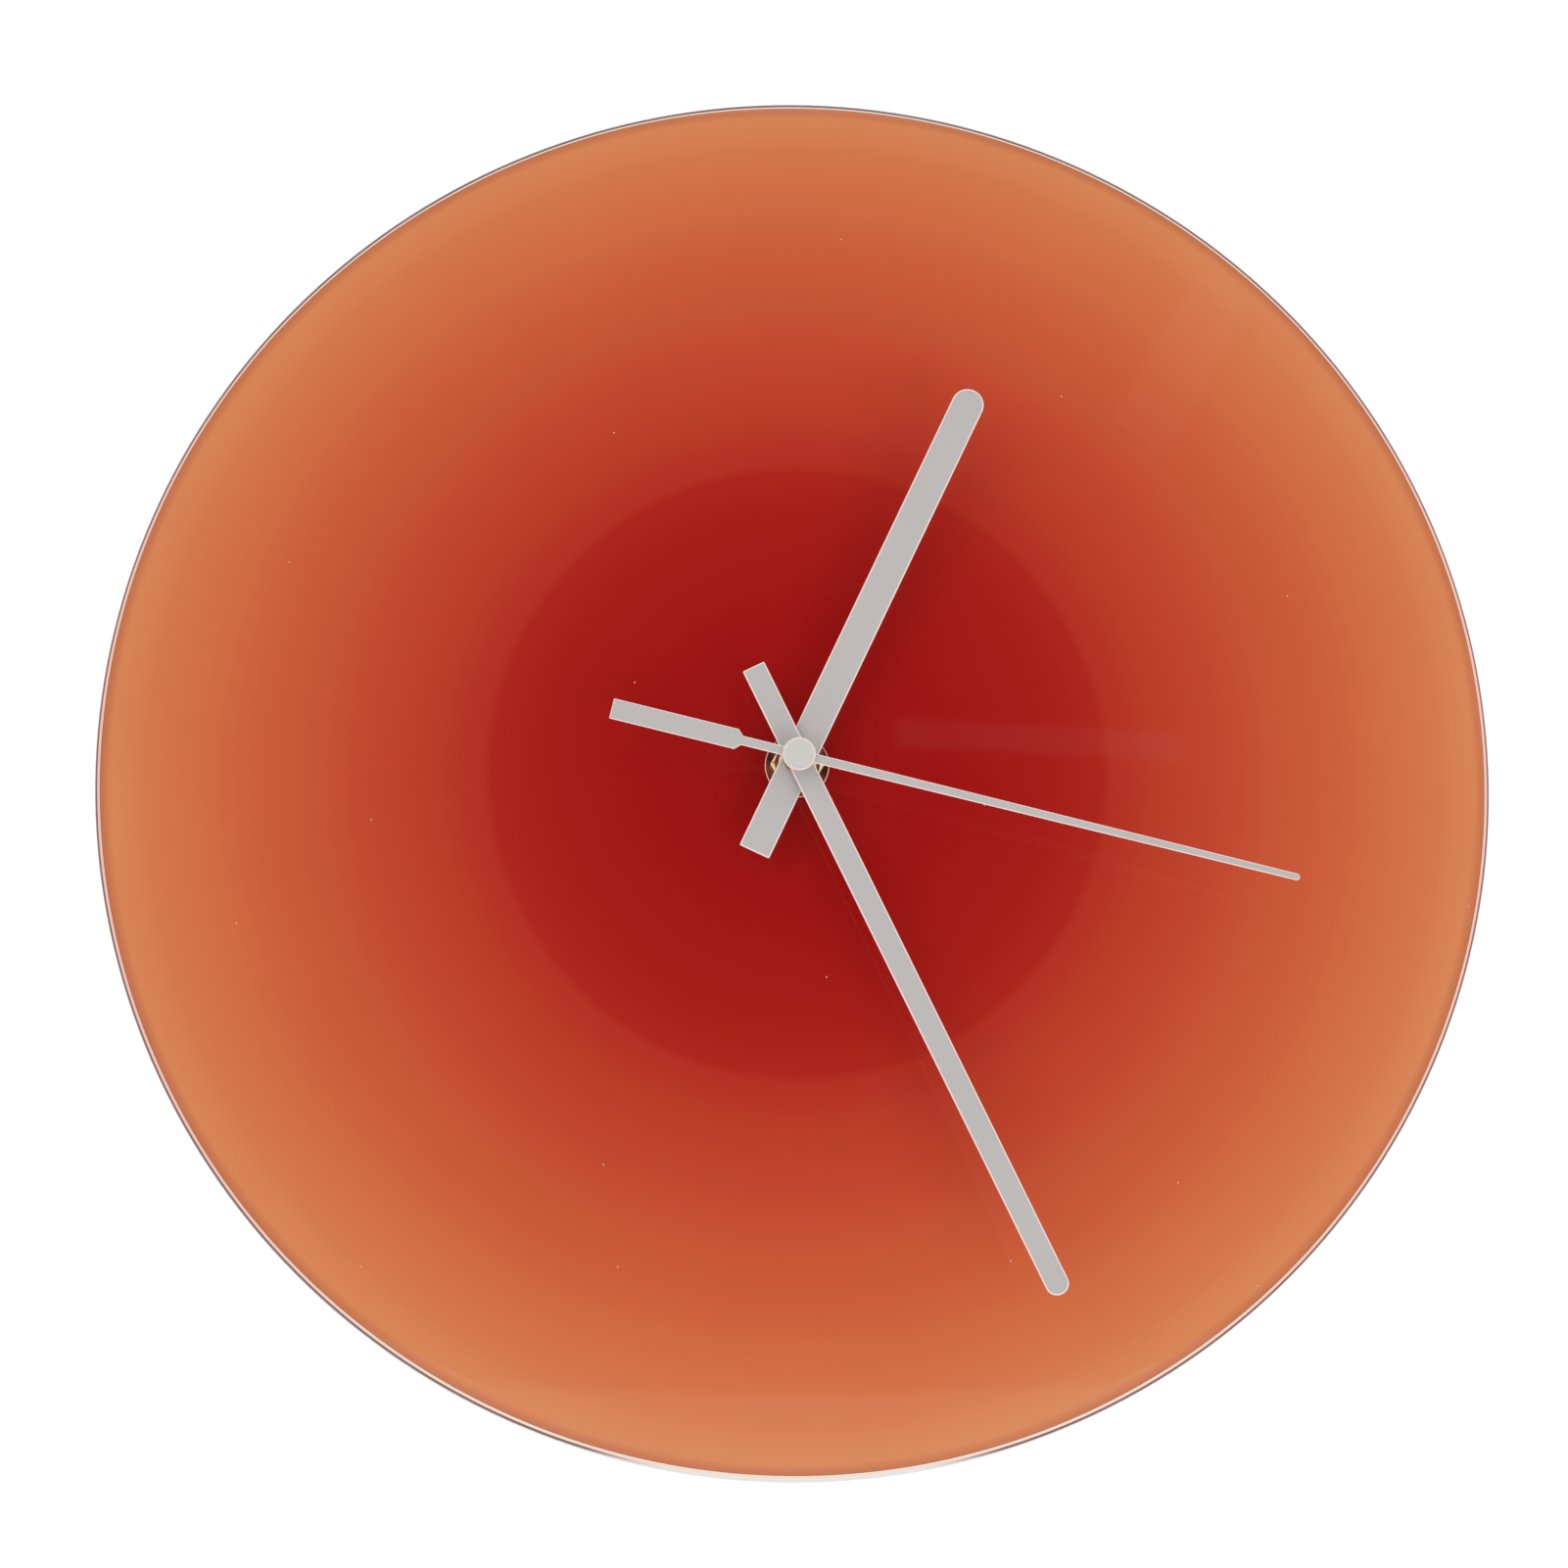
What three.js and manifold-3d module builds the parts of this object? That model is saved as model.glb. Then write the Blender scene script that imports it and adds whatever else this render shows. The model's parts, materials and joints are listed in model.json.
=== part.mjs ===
// Domed glass wall clock with a quartz movement hidden behind the glass.
// Lengths are in millimetres. X is to the right as seen from the front, Z is up, and the
// clock faces -Y. A depth is a distance forward from the wall, so depth d lies at y = -d.
// Axis and tooth angles are seen from the front and run counterclockwise from +X, in
// degrees. Hand angles run clockwise from twelve o'clock. The clock is built round the
// axis of its hands, and the last group moves the nail that it hangs on to the origin.

import * as THREE from 'three';
import { mergeVertices } from 'three/addons/utils/BufferGeometryUtils.js';
import Module from 'manifold-3d';

const wasm = await Module();
wasm.setup();

// Clearances
const seat = 0.02; // between faces that rest on each other
const slip = 0.08; // radial, round a shaft that turns
const pressed = 0.05; // radial, round a shaft that is pressed in
const easy = 0.15; // round a bush, a contact or a lip that drops in
const airGap = 0.3; // between a gear or a magnet and what it passes
const touch = 0.1; // between a contact and the cell that it presses on
const cutOver = 1; // how far a cutting tool runs past the face that it cuts

// Glass dome
const rimRadius = 150;
const domeRise = 27; // front of the glass at the middle, from the wall
const rimRise = 3.6; // where the dome's front would meet the upright edge, from the wall
const glassThickness = 4;
const frontEdgeRound = 1.3;
const backEdgeChamfer = 0.4;
const glassHoleClearance = 0.5;

// Backing disc and washers
const discRadius = 66.7;
const discThickness = 1.2;
const glueBed = 0.3;
const discFlatMargin = 1;
const rubberWasherRadius = 7.5;
const rubberWasherThickness = 1.5;
const brassWasherRadius = 6.85;
const brassWasherThickness = 0.8;
const brassWasherRound = 0.3;

// Threaded bush and hexagonal nut
const bushRadius = 4;
const bushFlangeRadius = 5.6;
const bushFlangeThickness = 0.6;
const bushStandOut = 1;
const nutSides = 6;
const nutAcrossFlats = 10;
const nutThickness = 2.2;
const nutChamfer = 0.5;
const nutChamferAngle = 30;

// Wall hanger
const hangerWidth = 15;
const hangerThickness = 0.8;
const hangerBelowBush = 9;
const hangerCorner = 4;
const hangerBend = 1.2;
const hangerStandOff = 3.2; // back of the tab that takes the nail, from the wall
const nailHeight = 41; // nail's centre above the hands' axis
const nailSlotRadius = 1.8;
const keyholeRadius = 3.6;
const keyholeDrop = 6.5; // keyhole's centre below the nail's
const tabAboveNail = 6;

// Movement case, as wide as the battery needs and as high as battery and train need
const caseDepth = 16;
const caseCorner = 4;
const caseWall = 1.2;
const caseFrontWall = 1;
const coverThickness = 1;
const lipThickness = 0.8;
const lipDepth = 1.2;
const bayWallThickness = 0.8;
const trainMargin = 1.07; // between the centre wheel's teeth and the bay's wall
const thumbNotchRadius = 9;
const cradleRibPlace = 13; // ribs in the bay's corners, from the middle
const cradleRibThickness = 1.2;
const cradleRibLeg = 2.8;
const pillarRadius = 1.3;
const spigotRadius = 0.8;
const pillarInset = 4.4;
const hookPlace = 14.5; // middle of each snap hook, from the middle of the case
const hookWidth = 5;
const hookReach = 3.2; // how far a hook stands forward from the cover
const hookBarb = 0.7; // how far its barb stands out from the lip
const hookBarbLength = 0.7;

// Battery and its contacts
const batteryRadius = 7.25;
const batteryLength = 50.2;
const batteryNubRadius = 2.75;
const batteryNubLength = 1.1;
const batteryCrimp = 0.6;
const springRoom = 2.46; // between the cell and the flat of the negative contact
const contactThickness = 0.4;
const contactWidth = 8;
const contactTailWidth = 2.8;
const contactTailRoot = 1; // how far a tail runs down over its blade
const contactLift = 1.3; // blades above the floor of the bay
const contactEndFlat = 1.4;
const contactPad = 2.4; // flat of the bow that presses on the cell
const contactPadCorner = 1.2;

// Gear train
const wheelThickness = 0.6;
const layerGap = 0.6;
const pinionOverhang = 0.2;
const bridgeThickness = 0.8;
const arborRadius = 0.45;
const pivotDepth = 1.2;
const secondArborRadius = 0.5;
const minutePipeRadius = 1.6;
const hourPipeRadius = 2.55;
const pipeTipLength = 0.3;
const postRadius = 0.7;
const bossWall = 0.6;
const rotorPinionTeeth = 8;
const fifthWheelTeeth = 40;
const fifthPinionTeeth = 8;
const secondWheelTeeth = 48;
const secondPinionTeeth = 8;
const thirdWheelTeeth = 64;
const thirdPinionTeeth = 8;
const centreWheelTeeth = 60;
const cannonPinionTeeth = 10;
const intermediateWheelTeeth = 30;
const intermediatePinionTeeth = 8;
const hourWheelTeeth = 32;
const settingPinionTeeth = 10;
const rotorDistance = 6.72; // between the rotor's and the fifth wheel's axes
const fifthDistance = 10.5; // the other axes, from the hands' axis
const thirdDistance = 10.8;
const intermediateDistance = 10.08;
const rotorDirection = 45; // seen from the fifth wheel's axis
const fifthDirection = 20; // seen from the hands' axis, as the next two are
const thirdDirection = 150;
const intermediateDirection = 80;
const settingDirection = 135; // seen from the intermediate wheel's axis

// Stepping motor
const magnetRadius = 2.8;
const magnetThickness = 1.6;
const statorThickness = 1;
const statorInset = 0.8; // between the stator and the case's side wall
const statorLegWidth = 3.4;
const statorBarBelow = 4.2; // from the rotor's axis down to the bar's lower edge
const statorBarAbove = 4.4;
const statorCorner = 1.5;
const statorTipCorner = 0.6;
const statorForkCorner = 1;
const statorAboveCore = 0.6;
const coilBelowWall = 5.4; // coil's axis below the case's upper wall
const coilCoreWidth = 2.8;
const coilCoreThickness = 1;
const bobbinFlangeRadius = 3.2;
const bobbinFlangeThickness = 0.6;
const bobbinBarrelRadius = 2.1;
const windingRadius = 3;
const stakeRadius = 0.7;
const coilWindowCorner = 0.5;

// Circuit board
const boardWidth = 17;
const boardHeight = 13.5;
const boardThickness = 0.8;
const boardInset = 0.9; // between the board and the case's wall
const chipFromLeft = 6.1;
const chipFromTop = 5.7;
const chipRadius = 3.3;
const chipHeight = 1;
const crystalRadius = 1;
const crystalLength = 6;
const crystalRound = 0.3;
const crystalLift = 2; // crystal's axis above the board's lower edge

// Setting knob
const settingShaftRadius = 1;
const knobRadius = 6;
const knobThickness = 2.4;
const knobRecess = 1.3; // how far it sits inside the back of the case
const knobSocketFloor = 1;
const knobDishDepth = 0.5;
const knobDishRim = 1;
const knobDishSlope = 0.6;
const knobFlutes = 16;
const knobFluteDepth = 0.35;

// Hands
const hourHandRise = 7.9; // back of each hand, from the front of the glass
const minuteHandRise = 10;
const secondHandRise = 14.9;
const handThickness = 0.6;
const secondHandThickness = 0.4;
const hourHandAngle = 25.6;
const minuteHandAngle = 153.8;
const secondHandAngle = 103.6;
const hourHandLength = 88;
const hourHandTail = 22;
const hourHandWidth = 7;
const minuteHandLength = 128.5;
const minuteHandTail = 22;
const minuteHandWidth = 5.2;
const secondHandLength = 108.8;
const secondHandTail = 40.7;
const secondHandWidth = 2;
const secondHandTipWidth = 1.45;
const secondHandNeck = 12.4;
const secondHandShoulder = 1.2;
const counterweightWidth = 4.5;
const secondHubRadius = 2.6;
const handBushWall = 0.35;
const handBushFlange = 0.9; // how far the bush stands out round its pipe
const hourBushLength = 1.6;
const minuteBushLength = 0.9;
const secondTubeWall = 0.4;
const secondTubeLength = 3.4;
const capRadius = 3.55;
const capThickness = 1;
const capBevel = 0.3;

// Facets
const roundSides = 20;
const smallRoundSides = 10;
const discSides = 32;
const rimSides = 68;
const coilSides = 16;
const cornerSteps = 3;
const domeFrontSteps = 5;
const domeBackSteps = 5;
const edgeSteps = 2;
const discFrontSteps = 3;
const discBackSteps = 2;
const chipSteps = 4;

// Tooth outlines: heights in modules, half widths in tooth pitches
const wheelTip = 0.95;
const wheelTipHalf = 0.12;
const wheelRoot = -1.25;
const wheelRootHalf = 0.35;
const pinionTip = 0.75;
const pinionTipHalf = 0.1;
const pinionRoot = -1.35;
const pinionRootHalf = 0.22;
const wheelTooth = [[wheelRoot, wheelRootHalf], [wheelTip, wheelTipHalf]];
const pinionLeaf = [[pinionRoot, pinionRootHalf], [pinionTip, pinionTipHalf]];

// Sphere of the dome, found from the rim and the rise
const domeSagitta = domeRise - rimRise;
const domeSphere = (rimRadius ** 2 + domeSagitta ** 2) / (2 * domeSagitta);
const domeCentre = domeRise - domeSphere;

// Depths behind the glass, worked out from the glass towards the wall
const glassHoleRadius = bushRadius + glassHoleClearance;
const discFrontSphere = domeSphere - glassThickness - glueBed;
const discBackSphere = discFrontSphere - discThickness;
const discFlatRadius = rubberWasherRadius + discFlatMargin;
const discFlatDepth = sphereDepth(discBackSphere, discFlatRadius);
const rubberFront = discFlatDepth - seat;
const hangerFront = rubberFront - rubberWasherThickness - seat;
const caseFront = hangerFront - hangerThickness - seat;
const caseBack = caseFront - caseDepth;
const coverFront = caseBack + coverThickness;
const chamberFront = caseFront - caseFrontWall;

// Depths of the train, the back face of each wheel
const bushFlangeFront = chamberFront - seat;
const bushFlangeBack = bushFlangeFront - bushFlangeThickness;
const wheelPitch = wheelThickness + layerGap;
const hourWheelBack = bushFlangeBack - airGap - wheelThickness;
const intermediateWheelBack = hourWheelBack - wheelPitch;
const centreWheelBack = intermediateWheelBack - wheelPitch;
const thirdWheelBack = centreWheelBack - wheelPitch;
const secondWheelBack = thirdWheelBack - wheelPitch;
const fifthWheelBack = secondWheelBack - wheelPitch;
const bridgeFront = fifthWheelBack - layerGap;
const bridgeBack = bridgeFront - bridgeThickness;
const statorFront = bridgeBack - seat;
const statorBack = statorFront - statorThickness;
const coreFront = statorBack - seat;
const coreBack = coreFront - coilCoreThickness;
const coilDepth = (coreFront + coreBack) / 2;

// Depths in front of the glass
const washerBack = sphereDepth(domeSphere, glassHoleRadius) + seat;
const washerFront = washerBack + brassWasherThickness;
const nutBack = washerFront + seat;
const nutFront = nutBack + nutThickness;
const bushFront = nutFront + bushStandOut;
const hourHandBack = domeRise + hourHandRise;
const minuteHandBack = domeRise + minuteHandRise;
const secondHandBack = domeRise + secondHandRise;
const secondHandFront = secondHandBack + secondHandThickness;
const capBack = secondHandFront + seat;

// Sizes of the gears' teeth
const rotorModule = gearModule(rotorDistance, rotorPinionTeeth, fifthWheelTeeth);
const secondsModule = gearModule(fifthDistance, fifthPinionTeeth, secondWheelTeeth);
const thirdModule = gearModule(thirdDistance, secondPinionTeeth, thirdWheelTeeth);
const centreModule = gearModule(thirdDistance, thirdPinionTeeth, centreWheelTeeth);
const workModule = gearModule(intermediateDistance, cannonPinionTeeth, intermediateWheelTeeth);
const hourModule = gearModule(intermediateDistance, intermediatePinionTeeth, hourWheelTeeth);

// Places inside the case: the battery's bay is below the train's chamber
const contactFace = contactThickness + seat;
const innerAcross = (batteryLength + springRoom + touch + 2 * contactFace) / 2;
const caseAcross = innerAcross + caseWall;
const centreWheelReach = (centreWheelTeeth / 2 + wheelTip) * centreModule;
const chamberBottom = -centreWheelReach - trainMargin;
const bayTop = chamberBottom - bayWallThickness;
const bayBottom = bayTop - 2 * (batteryRadius + airGap);
const innerUp = -bayBottom;
const caseUp = innerUp + caseWall;
const coverBottom = (bayTop + chamberBottom) / 2;
const batteryHeight = bayBottom + airGap + batteryRadius;
const coilHeight = innerUp - coilBelowWall;
const batteryDepth = chamberFront - airGap - batteryRadius;
const contactBack = coverFront + lipDepth + easy;
const knobBack = caseBack + knobRecess - knobThickness;
const knobFront = knobBack + knobThickness;
const knobPocketRadius = knobRadius + airGap;
const knobFloorBack = knobFront + airGap;
const knobFloorFront = knobFloorBack + coverThickness;

// Axes of the train, as [x, z]
const handAxis = [0, 0];
const thirdAxis = polar(handAxis, thirdDistance, thirdDirection);
const fifthAxis = polar(handAxis, fifthDistance, fifthDirection);
const rotorAxis = polar(fifthAxis, rotorDistance, rotorDirection);
const intermediateAxis = polar(handAxis, intermediateDistance, intermediateDirection);
const settingDistance = (workModule * (intermediateWheelTeeth + settingPinionTeeth)) / 2;
const settingAxis = polar(intermediateAxis, settingDistance, settingDirection);

// Snap hooks of the cover, as [x, 1 for the upper wall or -1 for the lower one, reach]
const hookPlaces = [
  [-hookPlace, 1, hookReach],
  [hookPlace, 1, hookReach],
  [-hookPlace, -1, lipDepth],
  [hookPlace, -1, lipDepth],
];

// Posts that carry the bridge, in the corners of the train's chamber
const pillarAcross = innerAcross - pillarInset;
const upperPillarHeight = innerUp - pillarInset;
const lowerPillarHeight = chamberBottom + pillarInset;
const pillarPlaces = [
  [-pillarAcross, upperPillarHeight],
  [-pillarAcross, lowerPillarHeight],
  [pillarAcross, lowerPillarHeight],
  [pillarAcross, rotorAxis[1] + statorBarAbove],
];

// Materials
const tintedGlass = metalOrPlastic(0xc8401f, 0.05, 0);
const blackFelt = metalOrPlastic(0x1c1a1a, 0.95, 0);
const rubber = metalOrPlastic(0x151515, 0.9, 0);
const brass = metalOrPlastic(0xc9a24b, 0.3, 1);
const zincSteel = metalOrPlastic(0xb4b8bc, 0.4, 1);
const blackPlastic = metalOrPlastic(0x1b1c1e, 0.5, 0);
const whitePlastic = metalOrPlastic(0xe6e4dc, 0.45, 0);
const amberPlastic = metalOrPlastic(0xb98a45, 0.45, 0);
const copper = metalOrPlastic(0xb0562f, 0.35, 1);
const siliconSteel = metalOrPlastic(0x8d9195, 0.35, 1);
const boardGreen = metalOrPlastic(0x2a5b34, 0.6, 0);
const blackEpoxy = metalOrPlastic(0x101010, 0.35, 0);
const magnetBlack = metalOrPlastic(0x2c2c30, 0.4, 0.6);
const batterySleeve = metalOrPlastic(0x6f7a86, 0.35, 0.3);
const handGrey = metalOrPlastic(0xbebab8, 0.55, 0.2);
const satinAluminium = metalOrPlastic(0xcdc9c6, 0.3, 1);

function metalOrPlastic(color, roughness, metalness) {
  return new THREE.MeshStandardMaterial({ color, roughness, metalness });
}

// Depth of a sphere round the dome's centre, at a distance from the hands' axis
function sphereDepth(sphere, radius) {
  return domeCentre + Math.sqrt(sphere ** 2 - radius ** 2);
}

function radians(degrees) {
  return THREE.MathUtils.degToRad(degrees);
}

function polar([x, z], distance, degrees) {
  const angle = radians(degrees);
  return [x + distance * Math.cos(angle), z + distance * Math.sin(angle)];
}

function bearing([x, z], [toX, toZ]) {
  return Math.atan2(toZ - z, toX - x);
}

function gearModule(distance, teeth, otherTeeth) {
  return (2 * distance) / (teeth + otherTeeth);
}

// Angle of a tooth on a gear that is in mesh with one whose tooth angle is known
function meshedAngle(from, to, fromTeeth, fromAngle, toTeeth) {
  const line = bearing(from, to);
  const pitch = (2 * Math.PI) / fromTeeth;
  const past = THREE.MathUtils.euclideanModulo(line - fromAngle, pitch);
  return line + Math.PI + (past * fromTeeth) / toTeeth + Math.PI / toTeeth;
}

// A solid turned round the hands' axis, from [radius, depth] points
function turned(points, sides = roundSides) {
  const profile = points.map(([radius, depth]) => new THREE.Vector2(radius, -depth));
  return lathe(profile, sides);
}

// A solid turned round the X axis, from [radius, x] points
function turnedAcross(points, sides = roundSides) {
  const profile = points.map(([radius, x]) => new THREE.Vector2(radius, x));
  return lathe(profile, sides).rotateZ(-Math.PI / 2);
}

function lathe(profile, sides) {
  if (THREE.ShapeUtils.area(profile) < 0) profile.reverse();
  const onAxis = profile.filter((point) => point.x === 0).length > 0;
  if (!onAxis) profile.push(profile[0].clone());
  return new THREE.LatheGeometry(profile, sides);
}

// A flat piece drawn as seen from the front, standing forward from a depth
function plate(shape, thickness, backDepth, sides = roundSides) {
  const settings = { depth: thickness, bevelEnabled: false, curveSegments: sides / 2 };
  const geometry = new THREE.ExtrudeGeometry(shape, settings);
  return geometry.rotateX(Math.PI / 2).translate(0, -backDepth, 0);
}

// A round bar along the hands' direction, between two depths
function bar(radius, back, front, [x, z] = [0, 0], sides = smallRoundSides) {
  const points = [[0, back], [radius, back], [radius, front], [0, front]];
  return turned(points, sides).translate(x, 0, z);
}

// An upright block between two corners, as [x, depth, z]
function block([x0, d0, z0], [x1, d1, z1]) {
  const box = new THREE.BoxGeometry(x1 - x0, d1 - d0, z1 - z0);
  return box.translate((x0 + x1) / 2, -(d0 + d1) / 2, (z0 + z1) / 2);
}

// Stands a drawing whose x is the depth and whose y is up on its edge
function standing(geometry) {
  return geometry.rotateX(Math.PI / 2).rotateZ(-Math.PI / 2);
}

// A polygon whose corners are given as [x, y, rounding]
function rounded(corners) {
  const points = [];
  corners.forEach(([x, y, rounding], index) => {
    const corner = new THREE.Vector2(x, y);
    const enter = towards(corner, corners.at(index - 1), rounding);
    const leave = towards(corner, corners[(index + 1) % corners.length], rounding);
    if (rounding === 0) points.push(corner);
    else points.push(...new THREE.QuadraticBezierCurve(enter, corner, leave).getPoints(cornerSteps));
  });
  return new THREE.Shape(points);
}

function towards(corner, [x, y], distance) {
  const step = new THREE.Vector2(x, y).sub(corner);
  return step.setLength(distance).add(corner);
}

function roundedBox(left, bottom, right, top, rounding, lowRounding = rounding) {
  return rounded([
    [left, bottom, lowRounding],
    [right, bottom, lowRounding],
    [right, top, rounding],
    [left, top, rounding],
  ]);
}

function roundHole(radius, [x, z] = [0, 0]) {
  return new THREE.Path().absarc(x, z, radius, 0, 2 * Math.PI, true);
}

// Solids for joins and cuts
function solid(geometry) {
  const bare = geometry.clone();
  bare.deleteAttribute('normal');
  bare.deleteAttribute('uv');
  const merged = mergeVertices(bare);
  const corners = merged.index.array;
  const triVerts = [];
  for (let i = 0; i < corners.length; i += 3) {
    const [a, b, c] = corners.slice(i, i + 3);
    if (a !== b && b !== c && c !== a) triVerts.push(a, b, c);
  }
  const vertProperties = Float32Array.from(merged.attributes.position.array);
  const mesh = { numProp: 3, vertProperties, triVerts: Uint32Array.from(triVerts) };
  return new wasm.Manifold(new wasm.Mesh(mesh));
}

function surface(manifold) {
  const mesh = manifold.getMesh();
  const geometry = new THREE.BufferGeometry();
  geometry.setAttribute('position', new THREE.BufferAttribute(mesh.vertProperties, 3));
  geometry.setIndex(new THREE.BufferAttribute(mesh.triVerts, 1));
  return geometry;
}

function joined(...geometries) {
  const solids = geometries.map(solid);
  return surface(solids.reduce((all, one) => all.add(one)));
}

function cut(geometry, ...tools) {
  const solids = tools.map(solid);
  return surface(solids.reduce((left, tool) => left.subtract(tool), solid(geometry)));
}

function overlap(geometry, other) {
  return surface(solid(geometry).intersect(solid(other)));
}

function piece(name, material, geometry, [x, z] = [0, 0]) {
  if (!geometry.attributes.normal) geometry.computeVertexNormals();
  const mesh = new THREE.Mesh(geometry, material);
  mesh.name = name;
  mesh.position.set(x, 0, z);
  return mesh;
}

// Gears
function gearShape(teeth, module, tooth, toothAngle) {
  const right = tooth.map(([height, half]) => [height, -half]);
  const flanks = [...right, ...tooth.toReversed()];
  const points = [];
  for (let count = 0; count < teeth; count += 1) {
    for (const [height, part] of flanks) {
      const radius = (teeth / 2 + height) * module;
      const angle = toothAngle + ((count + part) * 2 * Math.PI) / teeth;
      points.push(new THREE.Vector2(radius * Math.cos(angle), radius * Math.sin(angle)));
    }
  }
  return new THREE.Shape(points);
}

function wheelGear(teeth, module, toothAngle, back) {
  return plate(gearShape(teeth, module, wheelTooth, toothAngle), wheelThickness, back);
}

// A pinion that runs from its own wheel's middle to past the wheel that it meets
function pinionGear(teeth, module, toothAngle, ownBack, metBack) {
  const inWheel = ownBack + wheelThickness / 2;
  const front = metBack + wheelThickness + pinionOverhang;
  return plate(gearShape(teeth, module, pinionLeaf, toothAngle), front - inWheel, inWheel);
}

const rotorAngle = bearing(rotorAxis, fifthAxis);
const fifthPinionAngle = bearing(fifthAxis, handAxis);
const secondPinionAngle = bearing(handAxis, thirdAxis);
const thirdPinionAngle = bearing(thirdAxis, handAxis);
const cannonAngle = bearing(handAxis, intermediateAxis);
const intermediatePinionAngle = bearing(intermediateAxis, handAxis);
const intermediateWheelAngle = meshedAngle(
  handAxis,
  intermediateAxis,
  cannonPinionTeeth,
  cannonAngle,
  intermediateWheelTeeth,
);

// Glass dome: two concentric spheres, a rounded front edge and a flat land on the wall
function glassDome() {
  const edgeCentreRadius = rimRadius - frontEdgeRound;
  const edgeCentreDepth = sphereDepth(domeSphere - frontEdgeRound, edgeCentreRadius);
  const tangent = Math.acos(edgeCentreRadius / (domeSphere - frontEdgeRound));
  const backSphere = domeSphere - glassThickness;
  const landRadius = Math.sqrt(backSphere ** 2 - domeCentre ** 2);
  const frontRadius = edgeCentreRadius + frontEdgeRound * Math.cos(tangent);
  const frontArc = arcPoints(domeSphere, glassHoleRadius, frontRadius, domeFrontSteps);
  const backArc = arcPoints(backSphere, landRadius, glassHoleRadius, domeBackSteps);
  const edgeArc = Array.from({ length: edgeSteps }, (unused, step) => {
    const angle = tangent * (1 - (step + 1) / edgeSteps);
    return [
      edgeCentreRadius + frontEdgeRound * Math.cos(angle),
      edgeCentreDepth + frontEdgeRound * Math.sin(angle),
    ];
  });
  const chamfer = [
    [rimRadius, backEdgeChamfer],
    [rimRadius - backEdgeChamfer, 0],
  ];
  return turned([...frontArc, ...edgeArc, ...chamfer, ...backArc], rimSides);
}

// Points on a sphere round the dome's centre, from one radius to another
function arcPoints(sphere, fromRadius, toRadius, steps) {
  const start = Math.asin(fromRadius / sphere);
  const sweep = Math.asin(toRadius / sphere) - start;
  return Array.from({ length: steps + 1 }, (unused, step) => {
    const angle = start + (sweep * step) / steps;
    return [sphere * Math.sin(angle), domeCentre + sphere * Math.cos(angle)];
  });
}

// Backing disc: a thin dish that follows the back of the glass and hides the movement,
// with a flat round its hole for the rubber washer
function backingDisc() {
  const hole = bushRadius + easy;
  const front = arcPoints(discFrontSphere, hole, discRadius, discFrontSteps);
  const back = arcPoints(discBackSphere, discRadius, discFlatRadius, discBackSteps);
  return turned([...front, ...back, [hole, discFlatDepth]], discSides);
}

function ring(inner, outer, back, front, sides = roundSides) {
  return turned([[inner, back], [outer, back], [outer, front], [inner, front]], sides);
}

function brassWasher() {
  const outer = brassWasherRadius;
  const round = brassWasherRound;
  const inner = bushRadius + easy;
  return turned(
    [
      [inner, washerBack],
      [outer, washerBack],
      [outer, washerFront - round],
      [outer - round, washerFront],
      [inner, washerFront],
    ],
    discSides,
  );
}

// Hexagonal nut: a prism whose corners are turned off at both ends
function centreNut() {
  const corner = nutAcrossFlats / 2 / Math.cos(Math.PI / nutSides);
  const shape = new THREE.Shape();
  for (let count = 0; count < nutSides; count += 1) {
    const [x, z] = polar(handAxis, corner, (360 * count) / nutSides);
    if (count === 0) shape.moveTo(x, z);
    else shape.lineTo(x, z);
  }
  shape.closePath();
  shape.holes.push(roundHole(bushRadius + pressed));
  const waist = corner + cutOver;
  const end = corner - nutChamfer;
  const rise = (waist - end) * Math.tan(radians(nutChamferAngle));
  const turnedOff = turned([
    [0, nutBack],
    [end, nutBack],
    [waist, nutBack + rise],
    [waist, nutFront - rise],
    [end, nutFront],
    [0, nutFront],
  ]);
  return overlap(plate(shape, nutThickness, nutBack), turnedOff);
}

function threadedBush() {
  const bore = hourPipeRadius + slip;
  return turned([
    [bore, bushFlangeBack],
    [bushFlangeRadius, bushFlangeBack],
    [bushFlangeRadius, bushFlangeFront],
    [bushRadius, bushFlangeFront],
    [bushRadius, bushFront],
    [bore, bushFront],
  ]);
}

// Wall hanger: a strap held under the nut, stepped back to the wall over the case
function wallHanger() {
  const thick = hangerThickness;
  const hangerBack = hangerFront - thick;
  const shelfBottom = caseUp + airGap;
  const shelfTop = shelfBottom + thick;
  const tabTop = nailHeight + tabAboveNail;
  const side = rounded([
    [hangerFront, -hangerBelowBush, 0],
    [hangerFront, shelfTop, hangerBend],
    [hangerStandOff + thick, shelfTop, hangerBend - thick],
    [hangerStandOff + thick, tabTop, 0],
    [hangerStandOff, tabTop, 0],
    [hangerStandOff, shelfBottom, hangerBend],
    [hangerBack, shelfBottom, hangerBend - thick],
    [hangerBack, -hangerBelowBush, 0],
  ]);
  const strap = new THREE.ExtrudeGeometry(side, { depth: hangerWidth, bevelEnabled: false });
  strap.translate(0, 0, -hangerWidth / 2);
  const half = hangerWidth / 2;
  const outline = roundedBox(-half, -hangerBelowBush, half, tabTop, hangerCorner);
  const slab = plate(outline, hangerFront - hangerStandOff + 2 * cutOver, hangerStandOff - cutOver);
  const hole = bushRadius + easy;
  const bushHole = bar(hole, hangerBack - cutOver, hangerFront + cutOver, handAxis, roundSides);
  return cut(overlap(standing(strap), slab), bushHole, keyhole());
}

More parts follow.
